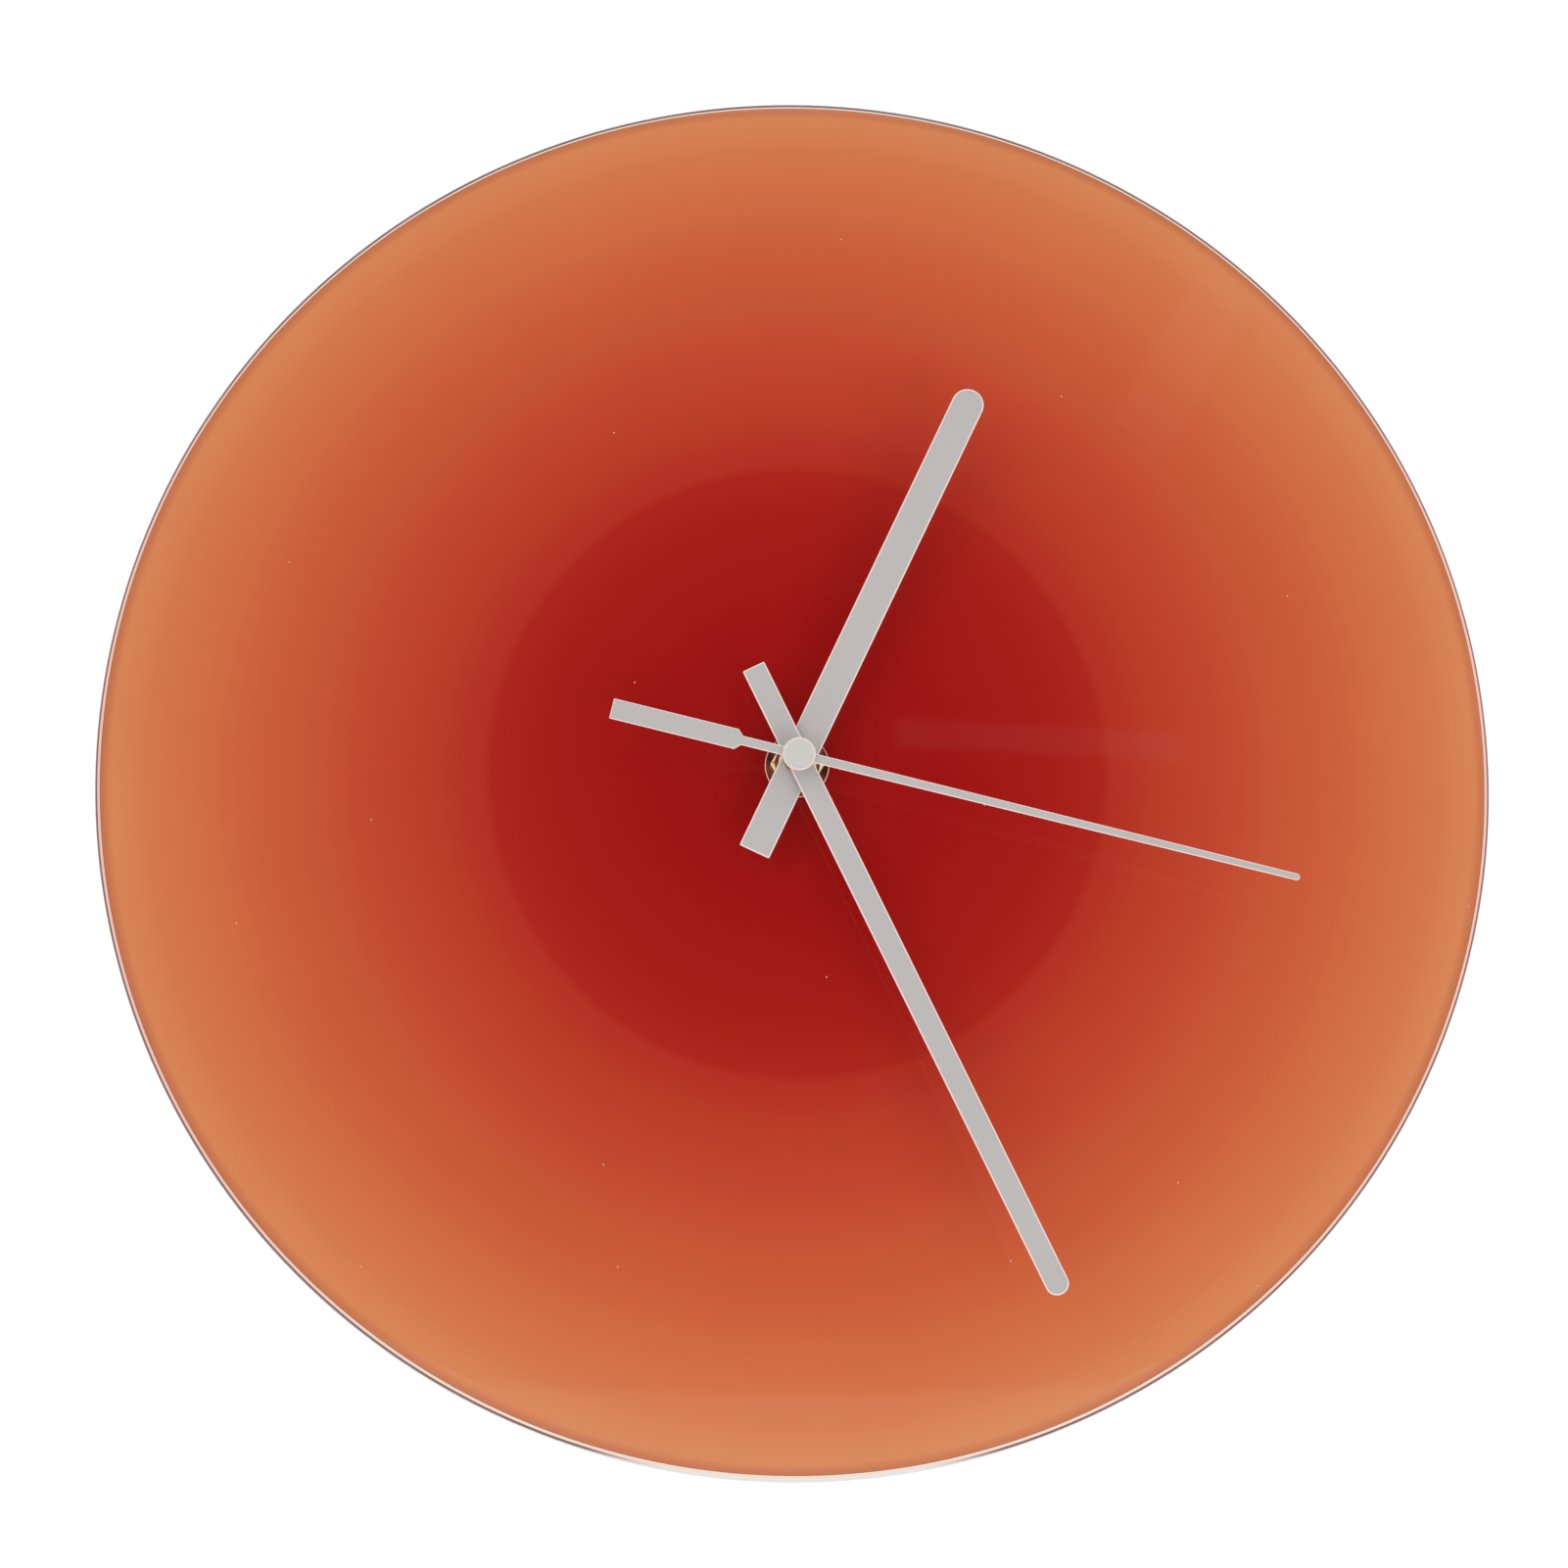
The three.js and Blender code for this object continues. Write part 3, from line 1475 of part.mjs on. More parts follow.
const train = new THREE.Group();
train.add(
  piece('rotor_shaft', whitePlastic, rotorShaft(), rotorAxis),
  piece('rotor_magnet', magnetBlack, rotorMagnet(), rotorAxis),
  piece('fifth_wheel', whitePlastic, fifthWheel(), fifthAxis),
  piece('second_wheel', whitePlastic, secondWheel()),
  piece('second_arbor', zincSteel, secondArbor()),
  piece('third_wheel', whitePlastic, thirdWheel(), thirdAxis),
  piece('centre_wheel', whitePlastic, centreWheel()),
  piece('intermediate_wheel', whitePlastic, intermediateWheel(), intermediateAxis),
  piece('hour_wheel', whitePlastic, hourWheel()),
  piece('setting_pinion', whitePlastic, settingPinion(), settingAxis),
  piece('setting_knob', whitePlastic, settingKnob(), settingAxis),
);

const hands = new THREE.Group();
hands.add(
  hourHand(),
  piece('hour_hand_bush', brass, handBush(hourPipeRadius, hourHandBack, hourBushLength)),
  minuteHand(),
  piece(
    'minute_hand_bush',
    brass,
    handBush(minutePipeRadius, minuteHandBack, minuteBushLength),
  ),
  secondHand(),
  piece('second_hand_tube', brass, secondTube()),
  piece('second_hand_cap', satinAluminium, secondCap()),
);

const clock = new THREE.Group();
clock.add(face, movement, train, hands);
clock.position.set(0, 0, -nailHeight);

export default clock;
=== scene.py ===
"""Glass wall clock: fine pieces, finishes, studio and camera round the fixed frame.

Lengths are in metres. X is to the right as seen from the front, Z is up and the clock
faces -Y. A depth is a distance forward from the wall, so depth d lies at y = -d.
"""

import json
import math

import bpy
from bpy.props import FloatProperty, FloatVectorProperty, IntProperty, PointerProperty
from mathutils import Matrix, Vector


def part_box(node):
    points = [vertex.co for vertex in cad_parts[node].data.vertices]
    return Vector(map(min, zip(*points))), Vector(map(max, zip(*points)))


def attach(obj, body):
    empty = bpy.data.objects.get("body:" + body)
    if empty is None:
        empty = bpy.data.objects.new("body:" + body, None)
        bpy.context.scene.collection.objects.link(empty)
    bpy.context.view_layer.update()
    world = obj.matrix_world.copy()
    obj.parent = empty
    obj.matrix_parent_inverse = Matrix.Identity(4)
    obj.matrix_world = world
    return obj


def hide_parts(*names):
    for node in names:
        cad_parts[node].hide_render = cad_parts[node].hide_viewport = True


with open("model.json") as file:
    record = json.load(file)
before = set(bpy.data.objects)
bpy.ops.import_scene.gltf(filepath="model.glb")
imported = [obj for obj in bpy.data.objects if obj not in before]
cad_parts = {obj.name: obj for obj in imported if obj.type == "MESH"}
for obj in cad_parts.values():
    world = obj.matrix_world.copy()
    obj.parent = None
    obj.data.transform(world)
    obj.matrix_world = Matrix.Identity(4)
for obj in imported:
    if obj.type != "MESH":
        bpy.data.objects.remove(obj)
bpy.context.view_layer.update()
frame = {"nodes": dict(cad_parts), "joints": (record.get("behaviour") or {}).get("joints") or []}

bl_info = {
    "name": "Glass Wall Clock",
    "version": (1, 0, 0),
    "blender": (4, 5, 0),
    "location": "3D View > Sidebar > Clock",
    "description": "Models a domed glass wall clock with its hands and quartz movement",
    "category": "Add Mesh",
}

MM = 0.001

# Points that lie closer to each other than this are merged
DOUBLES = 0.002 * MM


def middle_of(node):
    """Middle of a node's box, as a vector."""
    low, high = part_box(node)
    return (low + high) / 2


def front_of(node):
    """Depth of a node's front face."""
    return -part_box(node)[0].y


def back_of(node):
    """Depth of a node's back face."""
    return -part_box(node)[1].y


def ends_of(node):
    """Depths of a node's back and front faces."""
    low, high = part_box(node)
    return -high.y, -low.y


def axis_of(joint):
    """Line that a joint turns on, as a vector with no depth."""
    across, _, up = next(row["pos_m"] for row in frame["joints"] if row["name"] == joint)
    return Vector((across, 0, up))


AXIS = Vector((0, 0, middle_of("glass_dome").z))
RIM_RADIUS = (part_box("glass_dome")[1].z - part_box("glass_dome")[0].z) / 2
BUSH_HOLE = 4.15 * MM


def length(name, default, description):
    """A length that a user can set."""
    return FloatProperty(
        name=name, description=description, default=default, subtype="DISTANCE", unit="LENGTH"
    )


def degrees(name, default, description):
    """An angle that a user can set, in degrees."""
    return FloatProperty(
        name=name,
        description=description,
        default=math.radians(default),
        subtype="ANGLE",
        unit="ROTATION",
    )


def number(name, default, description):
    """A plain number that a user can set."""
    return FloatProperty(name=name, description=description, default=default, min=0)


def colour(name, default, description):
    """A colour that a user can set, written as it shows on a screen from 0 to 255."""
    return FloatVectorProperty(
        name=name,
        description=description,
        default=[channel / 255 for channel in default],
        size=3,
        min=0,
        max=1,
        subtype="COLOR_GAMMA",
    )


def linear(shown):
    """The shader's colour for a colour as it shows on a screen."""
    parts = [c / 12.92 if c <= 0.04045 else ((c + 0.055) / 1.055) ** 2.4 for c in shown]
    return (*parts, 1.0)


def scaled(shade, factor):
    """A shader colour made lighter or darker."""
    return (*(min(1.0, factor * c) for c in shade[:3]), 1.0)


# Settings


class ClockGlass(bpy.types.PropertyGroup):
    """The glass dome and the disc behind it."""

    rise: length("Rise", 27 * MM, "Front of the glass at the middle, from the wall")
    rim_rise: length("Rim rise", 3.6 * MM, "Where dome and edge would meet, from the wall")
    thickness: length("Thickness", 4 * MM, "Thickness of the glass")
    edge_round: length("Edge round", 1.3 * MM, "Radius of the front edge")
    edge_chamfer: length("Edge chamfer", 0.4 * MM, "Chamfer of the back edge")
    hole: length("Hole", 4.5 * MM, "Radius of the hole for the bush")
    disc: length("Disc", 66.7 * MM, "Radius of the disc behind the glass")
    # Painted shade of the disc behind the glass: where it shows on the front, how soft it is, how
    # far it is shifted as seen through the glass, and how much it darkens
    disc_seen: length("Disc seen", 66.0 * MM, "Radius at which its edge shows through the glass")
    disc_blur: length("Disc blur", 1.1 * MM, "How softly its edge shows through")
    disc_low: length("Disc low", 0.64 * MM, "How far below the axis it shows through")
    disc_right: length("Disc right", 0.28 * MM, "How far beside the axis it shows through")
    disc_shade: colour("Disc shade", (247, 219, 233), "What the disc takes from the colour")
    # The middle colour is made lighter than the glass as painted light, making up for the hands'
    # shadow near the hub
    middle: colour("Middle", (163, 21, 20), "Colour over the disc, near the hands' axis")
    inner: colour("Inner", (165, 23, 20), "Colour over the disc, half way to its edge")
    disc_edge: colour("Disc edge", (174, 35, 26), "Colour over the disc, near its edge")
    past_disc: colour("Past the disc", (189, 60, 40), "Colour just outside the disc")
    half_way: colour("Half way", (201, 81, 52), "Colour half way from the disc to the rim")
    outer: colour("Outer", (211, 103, 64), "Colour towards the rim")
    near_rim: colour("Near the rim", (218, 125, 80), "Colour near the rim")
    rim: colour("Rim", (221, 136, 89), "Colour at the rim")
    # Colours of the painted refraction at the rim: the clear glass's bright line as a painted
    # highlight, pinker at the sides, and a dark outer line as painted shade
    clear_line: colour("Clear line", (246, 222, 205), "Clear glass at the top and foot")
    side_line: colour("Side line", (247, 196, 180), "Clear glass at the sides")
    outer_line: colour("Outer line", (126, 90, 88), "Dark line where the edge turns away")
    edge: colour("Edge", (242, 236, 232), "Ground edge of the clear glass")
    sides: IntProperty(name="Sides", description="Facets round the dome", default=256, min=32)


class ClockHands(bpy.types.PropertyGroup):
    """The three hands and their cap."""

    hour_angle: degrees("Hour angle", 25.2, "Clockwise from twelve")
    minute_angle: degrees("Minute angle", 154.05, "Clockwise from twelve")
    second_angle: degrees("Second angle", 103.75, "Clockwise from twelve")
    hour_length: length("Hour length", 88.3 * MM, "From the axis to the tip")
    minute_length: length("Minute length", 126.2 * MM, "From the axis to the tip")
    second_length: length("Second length", 108.6 * MM, "From the axis to the tip")
    tail: length("Tail", 21.8 * MM, "Tail of the hour and minute hands")
    second_tail: length("Second tail", 40.7 * MM, "Tail of the second hand")
    hour_width: length("Hour width", 6.9 * MM, "Width of the hour hand")
    minute_width: length("Minute width", 5.05 * MM, "Width of the minute hand")
    needle_width: length("Needle width", 2 * MM, "Width of the second hand at the hub")
    needle_tip: length("Needle tip", 1.45 * MM, "Width of the second hand at the tip")
    weight_width: length("Counterweight width", 4.4 * MM, "Width of the second hand's tail")
    neck: length("Neck", 12.4 * MM, "From the axis to the counterweight")
    edge_softness: length("Edge softness", 0.29 * MM, "Bevel along the hands' edges")
    paint: colour("Paint", (192, 188, 186), "Paint of the hands")
    # Painted highlight along the hands' cut edges and bevels
    bare_edge: colour("Bare edge", (255, 234, 226), "Bright metal along the cut edges")
    cap: colour("Cap", (230, 225, 221), "Satin metal of the cap")


class ClockMovement(bpy.types.PropertyGroup):
    """The parts behind the glass."""

    case_corner: length("Case corner", 4 * MM, "Radius of the case's corners")
    wall: length("Wall", 1.2 * MM, "Thickness of the case's side walls")
    front_wall: length("Front wall", 1 * MM, "Thickness of the case's front wall")
    bay_wall: length("Bay wall", 0.8 * MM, "Wall between the train and the battery")
    cover: length("Cover", 1 * MM, "Thickness of the cover")
    lip: length("Lip", 1.2 * MM, "How far the cover's lip reaches into the case")
    gap: length("Gap", 0.3 * MM, "Room round a part that moves")
    ease: length("Ease", 0.15 * MM, "Room round a part that drops in")
    edge_softness: length("Edge softness", 0.3 * MM, "Bevel along the moulded edges")
    strip: length("Strip", 0.4 * MM, "Thickness of the contact strips")
    steel: length("Hanger steel", 0.8 * MM, "Thickness of the wall hanger")
    case: colour("Case", (36, 37, 39), "Plastic of the case")
    sleeve: colour("Sleeve", (92, 106, 121), "Sleeve of the battery")
    sleeve_band: colour("Sleeve band", (196, 168, 112), "Band at the battery's positive end")
    brass: colour("Brass", (240, 210, 164), "Nut, threaded bush and the hands' bushes")
    washer: colour("Washer", (240, 170, 146), "Redder brass of the washer")


class ClockStudio(bpy.types.PropertyGroup):
    """Light and camera."""

    lens: number("Lens", 199.3, "Focal length in millimetres on a sensor 36 mm wide")
    distance: length("Distance", 1.868, "From the camera to the clock")
    left: degrees("Left", 1.637, "How far the camera stands to the left")
    under: degrees("Under", 9.23, "How far the camera stands below")
    aim_across: length("Aim across", -2.05 * MM, "Where it looks, to the right of the axis")
    aim_up: length("Aim up", 0.12 * MM, "Where it looks, above the axis")
    sky: number("Sky", 0.82, "Even light from all round")
    key: number("Key", 5.7, "Power of the soft lamp at the left, in watts")
    fill: number("Fill", 11.2, "Power of the soft lamp at the lower right, in watts")


def settings():
    """The groups of settings of this scene."""
    return [getattr(bpy.context.scene, name) for name in GROUPS]


# Shader sockets that arithmetic can be written with


class Value:
    """A number that varies over a surface."""

    def __init__(self, nodes, socket):
        self.nodes = nodes
        self.socket = socket

    def maths(self, operation, first, second=0.0):
        """Adds a Math node."""
        return self.nodes.add("ShaderNodeMath", {"operation": operation}, {0: first, 1: second})

    def __add__(self, other):
        return self.maths("ADD", self, other)

    def __sub__(self, other):
        return self.maths("SUBTRACT", self, other)

    def __mul__(self, other):
        return self.maths("MULTIPLY", self, other)

    def __truediv__(self, other):
        return self.maths("DIVIDE", self, other)

    def __rsub__(self, other):
        return self.maths("SUBTRACT", other, self)

    def __rtruediv__(self, other):
        return self.maths("DIVIDE", other, self)

    __radd__ = __add__
    __rmul__ = __mul__

    def root(self):
        """Square root."""
        return self.maths("SQRT", self)

    def sine(self):
        """Sine of an angle in radians."""
        return self.maths("SINE", self)

    def at_least(self, other):
        """The larger of two values."""
        return self.maths("MAXIMUM", self, other)

    def between(self, low, high):
        """0 below the low limit, 1 above the high one, smooth between them."""
        kinds = {"interpolation_type": "SMOOTHSTEP"}
        return self.nodes.add("ShaderNodeMapRange", kinds, {0: self, 1: low, 2: high})


class Nodes:
    """The node tree of one finish."""

    def __init__(self, tree):
        self.tree = tree

    def add(self, kind, choices=None, inputs=None, output=0):
        """Adds a node, makes its choices, then fills or links its sockets."""
        node = self.tree.nodes.new(kind)
        for name, choice in (choices or {}).items():
            if name == "stops":
                self.fill_ramp(node.color_ramp, choice)
            else:
                setattr(node, name, choice)
        for name, value in (inputs or {}).items():
            self.fill(node.inputs[name], value)
        return Value(self, node.outputs[output])

    def fill(self, socket, value):
        """Links a value to a socket, or sets the socket's own number or colour."""
        if isinstance(value, Value):
            self.tree.links.new(value.socket, socket)
        else:
            socket.default_value = value

    @staticmethod
    def fill_ramp(ramp, stops):
        """Gives a colour ramp its stops."""
        ramp.interpolation = "CARDINAL"
        while len(ramp.elements) < len(stops):
            ramp.elements.new(1.0)
        for element, (position, shade) in zip(ramp.elements, stops):
            element.position = position
            element.color = shade

    def place(self):
        """Object coordinates as a vector and as three values."""
        vector = self.add("ShaderNodeTexCoord", output="Object")
        parts = [
            self.add("ShaderNodeSeparateXYZ", None, {0: vector}, output=axis) for axis in "XYZ"
        ]
        return vector, *parts

    def from_axis(self, centre=AXIS):
        """Distance from a line through a centre along the hands' axis."""
        _, x, _, z = self.place()
        across = x - centre.x
        up = z - centre.z
        return (across * across + up * up).root()

    def from_centre(self):
        """Distance from the upright line through the scene's middle."""
        _, x, y, _ = self.place()
        return (x * x + y * y).root()

    def noise(self, scale, detail=2.0, vector=None):
        """Noise from 0 to 1."""
        if vector is None:
            vector = self.place()[0]
        inputs = {"Vector": vector, "Scale": scale, "Detail": detail}
        return self.add("ShaderNodeTexNoise", None, inputs)

    def mix(self, factor, first, second, blend="MIX"):
        """Mixes two colours."""
        choices = {"data_type": "RGBA", "blend_type": blend}
        return self.add("ShaderNodeMix", choices, {0: factor, 6: first, 7: second}, output=2)


class Finish(Nodes):
    """A material with one Principled shader, seen by its plain sockets."""

    def __init__(self, name, **sockets):
        self.material = bpy.data.materials.new(name)
        self.material.use_nodes = True
        super().__init__(self.material.node_tree)
        self.shader = self.tree.nodes["Principled BSDF"]
        self.set(**sockets)

    def set(self, **sockets):
        """Sets or links sockets of the shader, named in lower case with underscores."""
        for name, value in sockets.items():
            self.fill(self.shader.inputs[SOCKETS[name]], value)

    def tones(self, name, factor):
        """Mixes the two tones of a plain stuff by a factor."""
        return self.mix(factor, *TONES[name])

    def cells(self, scale, **choices):
        """Distance from the nearest of many points, as a pattern of cells."""
        vector = self.place()[0]
        return self.add("ShaderNodeTexVoronoi", choices, {"Vector": vector, "Scale": scale})

    def surface(self, colour, roughness, height, distance):
        """Gives the finished material its colour, roughness and raised grain."""
        self.set(colour=colour, roughness=roughness)
        inputs = {"Height": height, "Distance": distance, "Strength": 1.0}
        self.set(normal=self.add("ShaderNodeBump", None, inputs))
        return self.material


# The shader's names for its sockets
SOCKETS = {
    "colour": "Base Color",
    "roughness": "Roughness",
    "metallic": "Metallic",
    "coat": "Coat Weight",
    "ior": "IOR",
    "sheen": "Sheen Weight",
    "glow_colour": "Emission Color",
    "glow": "Emission Strength",
    "normal": "Normal",
}


# Finishes

# How far from the hands' axis each colour of the glass stands
COLOUR_PLACES = (
    ("middle", 15 * MM),
    ("inner", 36 * MM),
    ("disc_edge", 60 * MM),
    ("past_disc", 75 * MM),
    ("half_way", 97.5 * MM),
    ("outer", 120 * MM),
    ("near_rim", 139.5 * MM),
    ("rim", 146 * MM),
)

# Where the painted shade and the painted refraction lines of the rim fade, as distances inwards
# from the glass's edge
RIM_SHADE = (1.3 * MM, 3.7 * MM)
BROWN_LINE = (1.14 * MM, 1.3 * MM)
CLEAR_LINE = (1.02 * MM, 1.12 * MM)

# Width at the foot of the dark outer line, a painted shade where the edge turns away, how much
# wider it is at the top, and its softness
OUTER_LINE = (0.5 * MM, 0.26 * MM, 0.05 * MM)

# Specks of dust to the metre, and where a speck starts and stops to fade, times that number
SPECKS = (15.0, 0.0016, 0.0032)

# Colours as a shader takes them
WHITE = (1.0, 1.0, 1.0, 1.0)
BLACK = (0.0, 0.0, 0.0, 1.0)
DUST = (0.78, 0.48, 0.44, 1.0)
CLOUD = (0.95, 0.9, 0.9, 1.0)
# Painted shade just inside the rim
RIM_SHADE_COLOUR = (0.83, 0.76, 0.81, 1.0)
COAT_TINT = (0.72, 0.6, 0.6, 1.0)

# The two tones that each plain stuff varies between
TONES = {
    "zinc": ((0.62, 0.64, 0.66, 1.0), (0.45, 0.47, 0.5, 1.0)),
    "flock": ((0.012, 0.011, 0.011, 1.0), (0.035, 0.031, 0.03, 1.0)),
    "wire": ((0.3, 0.1, 0.035, 1.0), (0.62, 0.24, 0.09, 1.0)),
    "lacquer": ((0.012, 0.075, 0.024, 1.0), (0.03, 0.15, 0.045, 1.0)),
    "rubber": ((0.008, 0.008, 0.008, 1.0), (0.022, 0.022, 0.022, 1.0)),
    "steel": ((0.26, 0.28, 0.3, 1.0), (0.4, 0.42, 0.44, 1.0)),
}

# Colours of small moulded parts, as they show on a screen from 0 to 1
IVORY = (0.91, 0.9, 0.86)
CREAM = (0.88, 0.87, 0.83)
AMBER = (0.74, 0.54, 0.27)
RESIN = (0.09, 0.09, 0.09)
MAGNET = (0.2, 0.2, 0.22)


def waves(along, spacing):
    """Waves from 0 to 1 along a value."""
    return (along * (2 * math.pi / spacing)).sine() * 0.5 + 0.5


def dome_colour(finish, glass, lightness=1.0):
    """Red at the middle shading to orange at the rim, with a painted shade where the disc behind
    the glass keeps out the light from behind.
    """
    radius = finish.from_axis()
    disc_shade = linear(glass.disc_shade)
    stops = []
    for name, place in COLOUR_PLACES:
        shade = scaled(linear(getattr(glass, name)), lightness)
        if place < glass.disc:
            shade = (*(c / part for c, part in zip(shade[:3], disc_shade)), 1.0)
        stops.append((place / RIM_RADIUS, shade))
    tint = finish.add("ShaderNodeValToRGB", {"stops": stops}, {0: radius / RIM_RADIUS})
    # Painted shade where the disc behind the glass keeps out the light from behind
    from_disc = finish.from_axis(AXIS + Vector((glass.disc_right, 0, -glass.disc_low)))
    blur = glass.disc_blur
    disc_shadow_mask = 1 - from_disc.between(glass.disc_seen - blur, glass.disc_seen + blur)
    return radius, finish.mix(disc_shadow_mask, tint, disc_shade, "MULTIPLY")


def dust_specks(finish):
    """A few specks of dust, far apart."""
    _, x, _, z = finish.place()
    flat = finish.add("ShaderNodeCombineXYZ", None, {0: x, 1: z})
    scale, inner, outer = SPECKS
    choices = {"voronoi_dimensions": "2D"}
    away = finish.add("ShaderNodeTexVoronoi", choices, {"Vector": flat, "Scale": scale})
    return 1 - away.between(inner, outer)


def rim_lines(finish, glass, radius, tint):
    """Paints in from the rim what the clear rounded edge refracts: a painted shade, a brown line,
    a bright clear line as a painted highlight, and a dark outer line that is wider at the top and
    pale at the foot.
    """
    from_rim = RIM_RADIUS - radius
    _, x, _, z = finish.place()
    beside = (x * x / RIM_RADIUS**2).between(0.1, 0.8)
    upwards = (z - AXIS.z) / RIM_RADIUS
    # Painted shade just inside the rim
    shaded = finish.mix(1 - from_rim.between(*RIM_SHADE), tint, RIM_SHADE_COLOUR, "MULTIPLY")
    brown = scaled(linear(glass.rim), 0.5)
    lined = finish.mix(1 - from_rim.between(*BROWN_LINE), shaded, brown)
    # Painted highlight of the clear edge, pinker at the sides
    clear = finish.mix(beside, linear(glass.clear_line), linear(glass.side_line))
    framed = finish.mix(1 - from_rim.between(*CLEAR_LINE), lined, clear)
    # Painted reflection: the dark outer line turns pale at the foot and widens towards the top
    lit_foot = (0 - upwards).between(0.95, 0.985)
    width, more, blur = OUTER_LINE
    inside = width + upwards.between(0.2, 1.0) * more - from_rim
    outer = finish.mix(lit_foot, linear(glass.outer_line), linear(glass.edge))
    return finish.mix(inside.between(-blur, blur), framed, outer)


def glass_front_finish(glass):
    """Polished glass with colour behind it, the painted shade of the disc behind it, and painted
    refraction lines round its rim.
    """
    finish = Finish("glass_front", ior=1.5)
    radius, tint = dome_colour(finish, glass)
    uneven = finish.noise(28.0, 3.0).between(0.3, 0.7)
    clouded = finish.mix(uneven * 0.3, tint, CLOUD, "MULTIPLY")
    dusty = finish.mix(dust_specks(finish), clouded, DUST)
    framed = rim_lines(finish, glass, radius, dusty)
    roughness = 0.03 + finish.noise(9.0, 4.0) * 0.035
    return finish.surface(framed, roughness, finish.noise(14.0, 1.0), 0.05 * MM)


def glass_edge_finish(glass):
    """Ground and polished edge of clear glass."""
    finish = Finish("glass_edge", ior=1.5)
    grain = finish.noise(2600.0, 3.0)
    _, _, y, _ = finish.place()
    at_wall = y.between(-2.0 * MM, -0.6 * MM)
    shade = finish.mix(at_wall, linear(glass.edge), scaled(linear(glass.clear_line), 0.8))
    return finish.surface(shade, 0.22 + grain * 0.2, grain, 0.01 * MM)


def glass_back_finish(glass):
    """Colour coat on the back of the glass, a little duller than through it."""
    finish = Finish("glass_back", ior=1.45)
    _, tint = dome_colour(finish, glass, 0.84)
    shade = finish.mix(finish.noise(60.0, 4.0) * 0.2, tint, COAT_TINT, "MULTIPLY")
    roughness = 0.3 + finish.noise(700.0) * 0.15
    return finish.surface(shade, roughness, finish.noise(900.0, 2.0), 0.02 * MM)


def turned_metal(name, shown, roughness, ring_width, metallic=1.0):
    """Metal turned on a lathe, with fine rings and a slight tarnish."""
    finish = Finish(name, metallic=metallic)
    rings = waves(finish.from_axis(), ring_width)
    tarnish = finish.noise(160.0, 3.0)
    bright = linear(shown)
    shade = finish.mix(tarnish, bright, scaled(bright, 0.95))
    uneven = roughness + tarnish * 0.06 + rings * 0.03
    return finish.surface(shade, uneven, rings, 0.0008 * MM)


def edge_highlight_finish(hands):
    """Painted highlight along the hands' cut edges and bevels, lighter than their paint."""
    finish = Finish("bare_edge", ior=1.5)
    grain = finish.noise(6000.0, 2.0)
    bright = linear(hands.bare_edge)
    shade = finish.mix(grain, bright, scaled(bright, 0.92))
    return finish.surface(shade, 0.32 + grain * 0.12, grain, 0.003 * MM)


def hand_finish(hands):
    """Matt paint with a fine grain on thin metal."""
    finish = Finish("hand_paint", ior=1.45)
    grain = finish.noise(5200.0, 3.0)
    paint = linear(hands.paint)
    shade = finish.mix(finish.noise(45.0, 2.0), scaled(paint, 1.03), scaled(paint, 0.95))
    return finish.surface(shade, 0.48 + grain * 0.14, grain, 0.006 * MM)


def plated_steel_finish():
    """Zinc plate with its soft crystal pattern and fine scratches."""
    finish = Finish("zinc_plate", metallic=1.0)
    crystals = finish.cells(620.0, feature="SMOOTH_F1")
    scratch = finish.noise(1500.0, 5.0)
    shade = finish.tones("zinc", crystals * 0.7)
    return finish.surface(shade, 0.3 + scratch * 0.18, crystals + scratch * 0.4, 0.006 * MM)


def moulded_finish(name, shown, roughness, grain_size=2600.0):
    """Moulded plastic with a fine spark texture."""
    finish = Finish(name, ior=1.48)
    grain = finish.noise(grain_size, 3.0)
    cloud = finish.noise(70.0, 3.0).between(0.4, 0.75)
    base = linear(shown)
    shade = finish.mix(cloud, base, scaled(base, 1.18))
    return finish.surface(shade, roughness + grain * 0.16, grain, 0.012 * MM)


def flock_finish():
    """Short black flock on the disc behind the glass."""
    finish = Finish("disc_flock", sheen=0.6, ior=1.4)
    fuzz = finish.noise(3200.0, 4.0)
    return finish.surface(finish.tones("flock", fuzz), 0.85 + fuzz * 0.1, fuzz, 0.08 * MM)


def wound_wire_finish():
    """Fine enamelled wire, wound side by side."""
    finish = Finish("copper_wire", metallic=1.0)
    _, x, _, _ = finish.place()
    turns = waves(x, 0.12 * MM)
    return finish.surface(finish.tones("wire", turns), 0.34 + turns * 0.1, turns, 0.02 * MM)


def board_finish():
    """Green lacquer over copper tracks."""
    finish = Finish("board_lacquer", ior=1.5)
    track = finish.cells(420.0, distance="MANHATTAN").between(0.42, 0.5)
    roughness = 0.25 + finish.noise(900.0) * 0.15
    return finish.surface(finish.tones("lacquer", track), roughness, track, 0.02 * MM)


def sleeve_finish(movement):
    """Plain shrink sleeve with a soft gloss and a band at the positive end."""
    finish = Finish("battery_sleeve", ior=1.5, coat=0.4)
    _, x, _, _ = finish.place()
    wrinkle = finish.noise(260.0, 3.0)
    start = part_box("battery_cell")[1].x - 13 * MM
    band = x.between(start, start + 0.2 * MM)
    shade = finish.mix(band, linear(movement.sleeve), linear(movement.sleeve_band))
    return finish.surface(shade, 0.24 + wrinkle * 0.12, wrinkle, 0.02 * MM)


def rubber_finish():
    """Soft black rubber."""
    finish = Finish("black_rubber", ior=1.45)
    grain = finish.noise(2400.0, 3.0)
    return finish.surface(finish.tones("rubber", grain), 0.6 + grain * 0.2, grain, 0.02 * MM)


